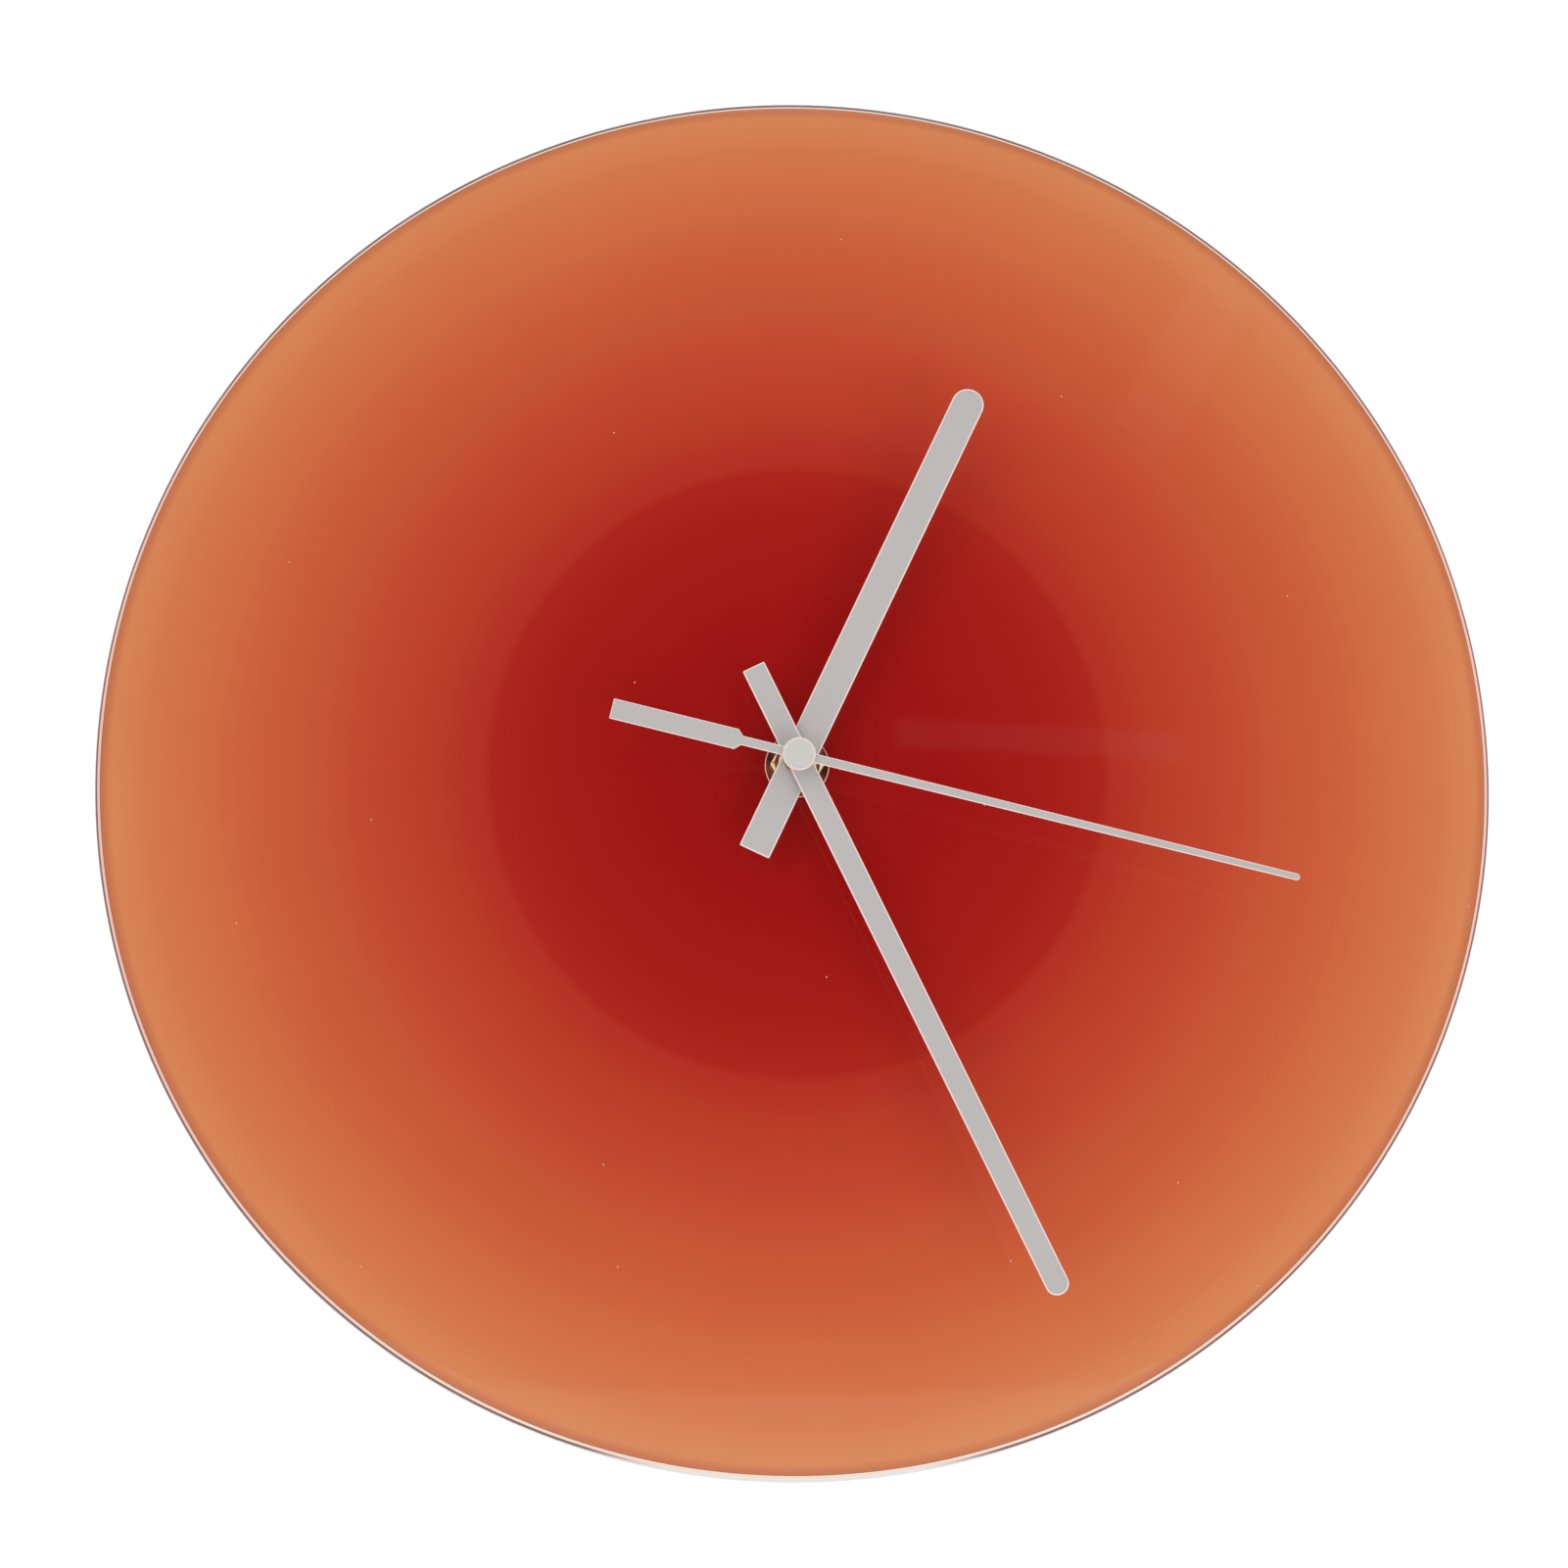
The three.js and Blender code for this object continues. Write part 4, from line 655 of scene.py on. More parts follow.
def sheet_steel_finish():
    """Punched electrical steel, rolled along its length."""
    finish = Finish("electrical_steel", metallic=1.0)
    vector = finish.place()[0]
    stretched = finish.add("ShaderNodeMapping", None, {0: vector, 3: (0.05, 1.0, 1.0)})
    roll = finish.noise(5200.0, 3.0, stretched)
    return finish.surface(finish.tones("steel", roll), 0.3 + roll * 0.2, roll, 0.005 * MM)


# Modelling helpers


def deselect():
    """Leaves edit mode and deselects everything."""
    if bpy.context.object and bpy.context.object.mode != "OBJECT":
        bpy.ops.object.mode_set(mode="OBJECT")
    bpy.ops.object.select_all(action="DESELECT")


def named(piece, name):
    """Names a piece and its mesh."""
    piece.name = name
    piece.data.name = name
    return piece


def start_point(name, position):
    """A new piece of one vertex, in edit mode."""
    deselect()
    bpy.ops.mesh.primitive_plane_add(size=MM, location=position)
    piece = named(bpy.context.object, name)
    bpy.ops.object.mode_set(mode="EDIT")
    bpy.ops.mesh.select_mode(type="VERT")
    bpy.ops.mesh.select_all(action="SELECT")
    bpy.ops.mesh.merge(type="CENTER")
    return piece


def draw_on(step):
    """Extrudes what is selected by a vector."""
    bpy.ops.mesh.extrude_region_move(TRANSFORM_OT_translate={"value": step})


def settle(piece):
    """Leaves edit mode and puts the piece's place into its mesh."""
    deselect()
    piece.select_set(True)
    bpy.context.view_layer.objects.active = piece
    bpy.ops.object.transform_apply(location=True, rotation=True, scale=True)
    return piece


def edit_all(piece):
    """Settles a piece, then opens it in edit mode with all of it selected."""
    settle(piece)
    bpy.ops.object.mode_set(mode="EDIT")
    bpy.ops.mesh.select_all(action="SELECT")


def face_outwards(piece):
    """Turns all faces of a piece outwards."""
    edit_all(piece)
    bpy.ops.mesh.normals_make_consistent(inside=False)


def turned(name, profile, sides=128, centre=AXIS, smooth=35, across=False):
    """Spins a profile round a line along the hands' axis, or along X where it is across.

    The profile's points are (radius, depth), or (radius, x) where it is across. It closes
    on itself unless both its ends lie on the line.
    """
    outwards, along = (Vector((1, 0, 0)), Vector((0, -1, 0)))
    if across:
        outwards, along = (Vector((0, 0, 1)), Vector((1, 0, 0)))
    base = centre - along * centre.dot(along)
    points = [base + outwards * radius + along * place for radius, place in profile]
    if profile[0][0] > 0 or profile[-1][0] > 0:
        points.append(points[0])
    piece = drawn(name, points)
    bpy.ops.mesh.spin(steps=sides, angle=2 * math.pi, center=base, axis=along)
    bpy.ops.mesh.select_all(action="SELECT")
    bpy.ops.mesh.remove_doubles(threshold=DOUBLES)
    bpy.ops.mesh.normals_make_consistent(inside=False)
    return smoothed(piece, smooth)


def drawn(name, points):
    """A line drawn through points, in edit mode and all selected."""
    piece = start_point(name, points[0])
    for old, new in zip(points, points[1:]):
        draw_on(Vector(new) - Vector(old))
    bpy.ops.mesh.select_all(action="SELECT")
    return piece


def smoothed(piece, limit):
    """Settles a piece and shades it smooth up to an angle in degrees."""
    settle(piece)
    bpy.ops.object.shade_smooth_by_angle(angle=math.radians(limit))
    return piece


def cleaned(piece):
    """Merges the slivers that cutting leaves."""
    edit_all(piece)
    bpy.ops.mesh.remove_doubles(threshold=DOUBLES)
    bpy.ops.mesh.dissolve_degenerate(threshold=DOUBLES / 2)
    return settle(piece)


def evened(piece, limit=30):
    """Shades a piece smooth up to an angle and keeps its flat faces flat."""
    smoothed(cleaned(piece), limit)
    return modify(piece, "WEIGHTED_NORMAL", keep_sharp=True)


def strip(name, stations, depth):
    """A flat outline in one plane, extruded station by station up from its lowest end.

    Each station is (height above the axis, half width).
    """
    (low, half), (high, _) = stations[:2]
    deselect()
    place = (0, -depth, AXIS.z + (low + high) / 2)
    bpy.ops.mesh.primitive_plane_add(size=1, location=place, rotation=(math.pi / 2, 0, 0))
    piece = named(bpy.context.object, name)
    piece.scale = (2 * half, high - low, 1)
    settle(piece)
    bpy.ops.object.mode_set(mode="EDIT")
    select_where(piece, lambda point: point.z > place[2])
    scale_across(half, stations[1][1], AXIS.z + high)
    for (old, old_half), (new, new_half) in zip(stations[1:], stations[2:]):
        draw_on((0, 0, new - old))
        scale_across(old_half, new_half, AXIS.z + new)
    return piece


def scale_across(old_half, new_half, height):
    """Scales the selected edge across, about the middle line."""
    factor = (new_half / old_half, 1, 1)
    bpy.ops.transform.resize(value=factor, center_override=(0, 0, height))


def select_where(piece, test):
    """Selects the vertices that pass a test, and the edges and faces between them."""
    bpy.ops.mesh.select_mode(type="VERT")
    bpy.ops.mesh.select_all(action="DESELECT")
    bpy.ops.object.mode_set(mode="OBJECT")
    for vertex in piece.data.vertices:
        vertex.select = test(vertex.co)
    for edge in piece.data.edges:
        edge.select = all(piece.data.vertices[index].select for index in edge.vertices)
    for face in piece.data.polygons:
        face.select = all(piece.data.vertices[index].select for index in face.vertices)
    bpy.ops.object.mode_set(mode="EDIT")


def select_edges(piece, test):
    """Selects the edges whose two ends pass a test."""
    bpy.ops.mesh.select_mode(type="EDGE")
    bpy.ops.mesh.select_all(action="DESELECT")
    bpy.ops.object.mode_set(mode="OBJECT")
    for edge in piece.data.edges:
        edge.select = test(*(piece.data.vertices[index].co for index in edge.vertices))
    bpy.ops.object.mode_set(mode="EDIT")


def modify(piece, kind, **values):
    """Adds a modifier, sets it and applies it."""
    settle(piece)
    modifier = piece.modifiers.new(kind.title(), kind)
    for name, value in values.items():
        setattr(modifier, name, value)
    bpy.ops.object.modifier_apply(modifier=modifier.name)
    return piece


def bevel(piece, width, segments=2, limit=40, even=False):
    """Bevels the edges that turn more than an angle in degrees.

    An even bevel keeps its full width all along, which only a simple outline can take.
    """
    return modify(
        piece,
        "BEVEL",
        width=width,
        segments=segments,
        limit_method="ANGLE",
        angle_limit=math.radians(limit),
        use_clamp_overlap=not even,
        loop_slide=not even,
    )


def carve(piece, *cutters):
    """Cuts a piece with others, which are used up."""
    return combine(piece, cutters, "DIFFERENCE")


def fuse(piece, *others):
    """Joins other pieces to a piece, as one solid."""
    return combine(piece, others, "UNION")


def combine(piece, others, operation):
    """Joins, cuts or intersects a piece with others, which are used up."""
    for other in others:
        modify(piece, "BOOLEAN", object=other, operation=operation, solver="EXACT")
        bpy.data.objects.remove(other, do_unlink=True)
    return piece


def rod(radius, start, end, sides=64):
    """A cylinder between two points."""
    deselect()
    start, end = Vector(start), Vector(end)
    bpy.ops.mesh.primitive_cylinder_add(
        vertices=sides,
        radius=radius,
        depth=(end - start).length,
        location=(start + end) / 2,
        rotation=(end - start).to_track_quat("Z", "Y").to_euler(),
    )
    return settle(bpy.context.object)


def pin(radius, back, front, centre=AXIS, sides=64):
    """A cylinder along the hands' axis between two depths."""
    return rod(radius, (centre.x, -back, centre.z), (centre.x, -front, centre.z), sides)


def slab(name, low, high, corner=0.0, test=None):
    """A block between two corners, each (x, depth, z), with its upright corners rounded."""
    deselect()
    middle = [(a + b) / 2 for a, b in zip(low, high)]
    bpy.ops.mesh.primitive_cube_add(size=1, location=(middle[0], -middle[1], middle[2]))
    piece = named(bpy.context.object, name)
    piece.scale = [b - a for a, b in zip(low, high)]
    settle(piece)
    if corner > 0:
        bpy.ops.object.mode_set(mode="EDIT")
        select_edges(
            piece,
            lambda a, b: abs(a.y - b.y) > abs(a.x - b.x) + abs(a.z - b.z)
            and (test is None or test(a)),
        )
        bpy.ops.mesh.bevel(offset=corner, segments=10, affect="EDGES")
        settle(piece)
    return piece


def nudge(piece, test, step):
    """Moves the vertices that pass a test."""
    settle(piece)
    bpy.ops.object.mode_set(mode="EDIT")
    select_where(piece, test)
    bpy.ops.transform.translate(value=step)
    return settle(piece)


def folded(name, path, across, thickness):
    """Thin metal folded along a path of points, as wide as a vector."""
    piece = drawn(name, path)
    draw_on(across)
    bpy.ops.mesh.select_all(action="SELECT")
    bpy.ops.mesh.normals_make_consistent(inside=False)
    return modify(piece, "SOLIDIFY", thickness=thickness, offset=0.0, use_even_offset=True)


def bend(centre, radius, start, end, steps=6):
    """Points (first, second) on an arc, with its angles in degrees."""
    points = []
    for step in range(steps + 1):
        angle = math.radians(start + (end - start) * step / steps)
        points.append((centre[0] + radius * math.cos(angle), centre[1] + radius * math.sin(angle)))
    return points


def swing(piece, angle):
    """Turns a piece clockwise about the hands' axis, as seen from the front."""
    settle(piece)
    bpy.context.scene.cursor.location = AXIS
    bpy.ops.object.origin_set(type="ORIGIN_CURSOR")
    piece.rotation_euler = (0, angle, 0)
    return settle(piece)


def dress(piece, body, node, material, slot):
    """Gives a finished piece its material and body, in place of a CAD node."""
    piece.data.materials.clear()
    piece.data.materials.append(material)
    return place_on(piece, body, node, slot)


def place_on(piece, body, node, slot):
    """Puts a piece on its body, in place of a CAD node."""
    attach(piece, body)
    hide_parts(node)
    return piece


def turn_piece(node, profile, sides, material, slot, body="clock_body", **way):
    """Turns the fine piece of a CAD node and dresses it."""
    piece = turned(f"{node}_fine", profile, sides, **way)
    return dress(piece, body, node, material, slot)


def colour_faces(piece, materials, choose):
    """Adds materials to a piece and gives each face the one that is chosen for it.

    The choice is made by the face's distance from the hands' axis and its normal.
    """
    for material in materials:
        piece.data.materials.append(material)
    for face in piece.data.polygons:
        out = math.hypot(face.center.x, face.center.z - AXIS.z)
        face.material_index = choose(out, face.normal)


def coat_node(node, material):
    """Gives a CAD node that stays its material."""
    for slot in frame["nodes"][node].material_slots:
        slot.material = material


def arc(sphere_radius, centre_depth, start, end, steps):
    """Points (radius, depth) on a sphere round the dome's centre."""
    first = math.asin(start / sphere_radius)
    sweep = math.asin(end / sphere_radius) - first
    points = []
    for step in range(steps + 1):
        angle = first + sweep * step / steps
        points.append(
            (sphere_radius * math.sin(angle), centre_depth + sphere_radius * math.cos(angle))
        )
    return points


def dome_sphere(glass):
    """Radius of the dome's front and the depth of its centre."""
    rise = glass.rise - glass.rim_rise
    radius = (RIM_RADIUS**2 + rise**2) / (2 * rise)
    return radius, glass.rise - radius


# Operators


class CLOCK_OT_glass_dome(bpy.types.Operator):
    """Model the domed glass with its rounded, ground edge"""

    bl_idname = "clock.glass_dome"
    bl_label = "Glass Dome"

    def execute(self, context):
        glass = context.scene.clock_glass
        sphere, centre = dome_sphere(glass)
        inside = sphere - glass.thickness
        edge_radius = RIM_RADIUS - glass.edge_round
        lift = math.sqrt((sphere - glass.edge_round) ** 2 - edge_radius**2)
        tangent = math.acos(edge_radius / (sphere - glass.edge_round))
        start = edge_radius + glass.edge_round * math.cos(tangent)
        land = math.sqrt(inside**2 - centre**2)
        profile = arc(sphere, centre, glass.hole, start, 40)
        middle = (edge_radius, centre + lift)
        profile += bend(middle, glass.edge_round, math.degrees(tangent), 0, 8)[1:]
        profile += [(RIM_RADIUS, glass.edge_chamfer), (RIM_RADIUS - glass.edge_chamfer, 0.0)]
        profile += arc(inside, centre, land, glass.hole, 36)
        dome = turned("glass_dome_fine", profile, glass.sides)
        finishes = (glass_front_finish, glass_edge_finish, glass_back_finish)
        near_rim = RIM_RADIUS - 0.03 * MM
        near_hole = glass.hole + 0.05 * MM

        def choose(out, normal):
            if normal.y > 0.2:
                return 1 if out > land else 2
            return 1 if out > near_rim or out < near_hole else 0

        colour_faces(dome, [finish(glass) for finish in finishes], choose)
        place_on(dome, "clock_body", "glass_dome", "tinted_glass")
        return {"FINISHED"}


class CLOCK_OT_backing_disc(bpy.types.Operator):
    """Model the thin dished disc behind the glass"""

    bl_idname = "clock.backing_disc"
    bl_label = "Backing Disc"

    def execute(self, context):
        glass = context.scene.clock_glass
        sphere, centre = dome_sphere(glass)
        glue = 0.3 * MM
        thickness = 1.2 * MM
        hole = 4.2 * MM
        flat = 8.5 * MM
        front_soft, front_drop = 0.3 * MM, 0.35 * MM
        back_soft, back_drop = 0.2 * MM, 0.25 * MM
        face = sphere - glass.thickness - glue
        profile = arc(face, centre, hole, glass.disc - front_soft, 20)
        profile.append((glass.disc, profile[-1][1] - front_drop))
        back = arc(face - thickness, centre, glass.disc - back_soft, flat, 16)
        profile += [(glass.disc, back[0][1] + back_drop), *back, (hole, back[-1][1])]
        turn_piece("backing_disc", profile, 192, flock_finish(), "black_felt")
        return {"FINISHED"}


class CLOCK_OT_washers(bpy.types.Operator):
    """Model the brass washer on the glass and the rubber one behind it"""

    bl_idname = "clock.washers"
    bl_label = "Washers"

    def execute(self, context):
        movement = context.scene.clock_movement
        back, front = ends_of("brass_washer")
        outer = 6.85 * MM
        soft = 0.15 * MM
        edge = 0.2 * MM
        profile = [(BUSH_HOLE, back), (outer - soft, back), (outer, back + 0.8 * soft)]
        profile += [(outer, front - edge), (outer - edge, front)]
        profile += [(BUSH_HOLE + edge, front), (BUSH_HOLE, front - soft)]
        brass = turned_metal("turned_brass", movement.washer, 0.12, 0.11 * MM)
        turn_piece("brass_washer", profile, 128, brass, "brass_parts")
        back, front = ends_of("rubber_washer")
        outer = 7.5 * MM
        lip = 0.2 * MM
        profile = [(BUSH_HOLE, back), (outer - lip, back), (outer, back + lip)]
        profile += [(outer, front - lip), (outer - lip, front), (BUSH_HOLE, front)]
        turn_piece("rubber_washer", profile, 96, rubber_finish(), "black_rubber")
        return {"FINISHED"}


class CLOCK_OT_centre_nut(bpy.types.Operator):
    """Model the hexagonal nut with turned corners"""

    bl_idname = "clock.centre_nut"
    bl_label = "Centre Nut"

    def execute(self, context):
        movement = context.scene.clock_movement
        back, front = ends_of("centre_nut")
        flat = 5 * MM
        bore = 4.05 * MM
        corner = flat / math.cos(math.pi / 6)
        deselect()
        bpy.ops.mesh.primitive_cylinder_add(
            vertices=6,
            radius=corner,
            depth=front - back,
            location=(0, -(front + back) / 2, AXIS.z),
            rotation=(math.pi / 2, math.radians(30), 0),
        )
        nut = named(settle(bpy.context.object), "centre_nut_fine")
        wide = corner + 0.1 * MM
        past = 0.5 * MM
        end = corner - 1.1 * MM
        tip = end - past * math.sqrt(3)
        slope = (wide - end) / math.sqrt(3)
        profile = [(0, back - past), (tip, back - past), (wide, back + slope)]
        profile += [(wide, front - slope), (tip, front + past), (0, front + past)]
        combine(nut, [turned("nut_blank", profile, 96)], "INTERSECT")
        carve(nut, pin(bore, back - MM, front + MM))
        bevel(nut, 0.1 * MM, 2, 25)
        smoothed(nut, 30)
        brass = turned_metal("machined_brass", movement.brass, 0.16, 0.15 * MM)
        dress(nut, "clock_body", "centre_nut", brass, "brass_parts")
        return {"FINISHED"}


class CLOCK_OT_threaded_bush(bpy.types.Operator):
    """Model the bush with the ridges of its thread"""

    bl_idname = "clock.threaded_bush"
    bl_label = "Threaded Bush"

    def execute(self, context):
        movement = context.scene.clock_movement
        back, front = ends_of("threaded_bush")
        bore = 2.63 * MM
        crest = 4 * MM
        pitch = 0.75 * MM
        valley = crest - 0.3 * MM
        flange = 5.6 * MM
        step = back + 0.6 * MM
        soft = 0.2 * MM
        place = front - 0.4 * MM
        ridge = ((crest, -0.28), (crest, -0.12), (valley, 0.28), (valley, 0.36))
        ridges = []
        while place > step + 2 * pitch:
            ridges = [(out, place + share * pitch) for out, share in ridge] + ridges
            place -= pitch
        profile = [(bore, back), (flange, back), (flange, step), (crest, step), *ridges]
        profile += [(crest - 0.35 * MM, front), (bore + soft, front), (bore, front - soft)]
        brass = turned_metal("threaded_brass", movement.brass, 0.2, 0.13 * MM)
        turn_piece("threaded_bush", profile, 96, brass, "brass_parts")
        return {"FINISHED"}


def rounded_end(reach, half, steps=14):
    """Stations of a round tip that ends at a reach."""
    return [(up, half_width) for half_width, up in bend((0, reach - half), half, 0, 88, steps)]


def make_blade(name, stations, node, hole, angle, softness):
    """A thin hand with softened edges, bored for its bush and turned to its angle."""
    back, front = ends_of(node)
    blade = strip(name, stations, (back + front) / 2)
    bpy.ops.mesh.select_all(action="SELECT")
    bpy.ops.mesh.dissolve_faces()
    modify(blade, "SOLIDIFY", thickness=front - back, offset=0.0)
    face_outwards(blade)
    bevel(blade, softness, 3, 50, even=True)
    carve(blade, pin(hole, back - MM, front + MM))
    smoothed(blade, 35)
    return swing(blade, angle)


def paint_edge_highlights(blade, edges):
    """Gives the bevels and side walls of a hand the material of the painted edge highlight."""
    colour_faces(blade, [edges], lambda _, normal: int(abs(normal.y) < 0.995))


class CLOCK_OT_bar_hands(bpy.types.Operator):
    """Model the hour and the minute hand with their bushes"""

    bl_idname = "clock.bar_hands"
    bl_label = "Hour and Minute Hands"

    def execute(self, context):
        hands = context.scene.clock_hands
        movement = context.scene.clock_movement
        hour_pipe, minute_pipe = 2.55 * MM, 1.6 * MM
        bush_wall = 0.45 * MM
        paint = hand_finish(hands)
        # Painted highlight for the hands' edges
        edges = edge_highlight_finish(hands)
        brass = turned_metal("bush_brass", movement.brass, 0.2, 0.12 * MM)
        for name, pipe in (("hour", hour_pipe), ("minute", minute_pipe)):
            half = getattr(hands, f"{name}_width") / 2
            reach = getattr(hands, f"{name}_length")
            node = f"{name}_hand"
            body = f"{name}_arbor"
            blade = make_blade(
                f"{node}_fine",
                [(-hands.tail, half), *rounded_end(reach, half)],
                node,
                pipe + bush_wall,
                getattr(hands, f"{name}_angle"),
                hands.edge_softness,
            )
            dress(blade, body, node, paint, "hand_grey")
            # Painted highlight on the hand's bevels and side walls
            paint_edge_highlights(blade, edges)
            make_bush(f"{node}_bush", body, pipe, front_of(node), brass)
        return {"FINISHED"}


def make_bush(node, body, pipe, blade_front, brass):
    """The bush that is riveted through a hand."""
    back = back_of(node)
    shoulder = blade_front - 0.62 * MM
    bore = pipe + 0.05 * MM
    neck = bore + 0.35 * MM
    flange = bore + 0.9 * MM
    soft = 0.15 * MM
    burr = 0.06 * MM
    profile = [(bore, back), (flange - soft, back), (flange, back + soft)]
    profile += [(flange, shoulder - soft), (flange - soft, shoulder), (neck, shoulder)]
    profile += [(neck, blade_front - burr), (neck - burr, blade_front), (bore, blade_front)]
    turn_piece(node, profile, 80, brass, "brass_parts", body)


class CLOCK_OT_second_hand(bpy.types.Operator):
    """Model the second hand, its tube and its cap"""

    bl_idname = "clock.second_hand"
    bl_label = "Second Hand"

    def execute(self, context):
        hands = context.scene.clock_hands
        movement = context.scene.clock_movement
        half = hands.needle_width / 2
        weight = hands.weight_width / 2
        shoulder = 1.2 * MM
        hub = 2.6 * MM
        hole = 1.05 * MM
        leave = math.degrees(math.asin(half / hub))
        stations = [(-hands.second_tail, weight), (-hands.neck - shoulder, weight)]
        stations.append((-hands.neck, half))
        around = bend((0, 0), hub, leave - 90, 90 - leave, 16)
        stations += [(up, half_width) for half_width, up in around]
        stations += rounded_end(hands.second_length, hands.needle_tip / 2)
        softness = 0.65 * hands.edge_softness
        blade = make_blade(
            "second_hand_fine", stations, "second_hand", hole, hands.second_angle, softness
        )
        dress(blade, "second_shaft", "second_hand", hand_finish(hands), "hand_grey")
        # Painted highlight on the hand's bevels and side walls
        paint_edge_highlights(blade, edge_highlight_finish(hands))
        self.make_tube(movement)
        self.make_cap(hands)
        return {"FINISHED"}

    @staticmethod
    def make_tube(movement):
        """The thin tube that holds the hand on its arbor."""
        back, front = ends_of("second_hand_tube")
        bore, outer = 0.55 * MM, 0.95 * MM
        soft = 0.06 * MM
        profile = [(bore, back), (outer - soft, back), (outer, back + soft)]
        profile += [(outer, front), (bore, front)]
        brass = turned_metal("tube_brass", movement.brass, 0.2, 0.1 * MM)
        turn_piece("second_hand_tube", profile, 48, brass, "brass_parts", "second_shaft")

    @staticmethod
    def make_cap(hands):
        """The round cap, with a rounded edge inside a low ring whose bead carries a painted
        highlight.
        """
        back, front = ends_of("second_hand_cap")
        wide = 3.5 * MM
        bead = 0.2 * MM
        soft = 0.1 * MM
        inside = wide - 2.4 * bead
        profile = [(0, back), (wide - soft, back), (wide, back + soft)]
        profile += bend((wide - bead, front - bead), bead, 0, 150, 9)
        profile += [(inside, front - 0.18 * MM), (inside - 0.25 * MM, front - 0.16 * MM)]
        profile += [(0, front - 0.08 * MM)]
        satin = turned_metal("satin_aluminium", hands.cap, 0.38, 0.09 * MM, 0.2)
        cap = turn_piece(
            "second_hand_cap", profile, 128, satin, "satin_aluminium", "second_shaft", smooth=60
        )
        # The bead round the cap's edge gets the painted highlight
        colour_faces(cap, [edge_highlight_finish(hands)], lambda out, _: int(out > wide - 0.8 * bead))


# Half the width of a snap hook, and how far its barb stands out
HOOK_HALF = 2.5 * MM
BARB = 0.7 * MM

# Width of a contact's tail
TAIL = 2.8 * MM

# Radii of a bearing boss, of the hole in it and of the knob
BOSS = 1.13 * MM
PIVOT = 0.53 * MM
KNOB_RADIUS = 6 * MM

# Keeps two faces from lying in one plane
HAIR = 0.02 * MM


def upper(point):
    """Whether a point is above the hands' axis, where the case's round corners are."""
    return point.z > AXIS.z


class CaseSizes:
    """Places inside the movement's case, worked out from the solids that it holds."""

    def __init__(self, movement):
        low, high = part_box("movement_case")
        self.left, self.right = low.x, high.x
        self.bottom, self.top = low.z, high.z
        self.back, self.front = -high.y, -low.y
        self.inside = self.right - movement.wall
        self.ceiling = self.top - movement.wall
        self.floor = self.front - movement.front_wall
        self.in_floor = self.floor + 0.5 * MM
        self.bay_low = self.bottom + movement.wall
        self.bay_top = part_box("battery_cell")[1].z + movement.gap
        self.chamber_low = self.bay_top + movement.bay_wall
        self.seam = (self.bay_top + self.chamber_low) / 2
        self.cover_front = self.back + movement.cover

    def hooks(self):
        """Middle, wall and direction of each snap hook, and how far forward it reaches."""
        long, short = 3.2 * MM, 1.2 * MM
        for x in (-14.5 * MM, 14.5 * MM):
            yield x, self.ceiling, 1, self.cover_front + long
            yield x, self.chamber_low, -1, self.cover_front + short


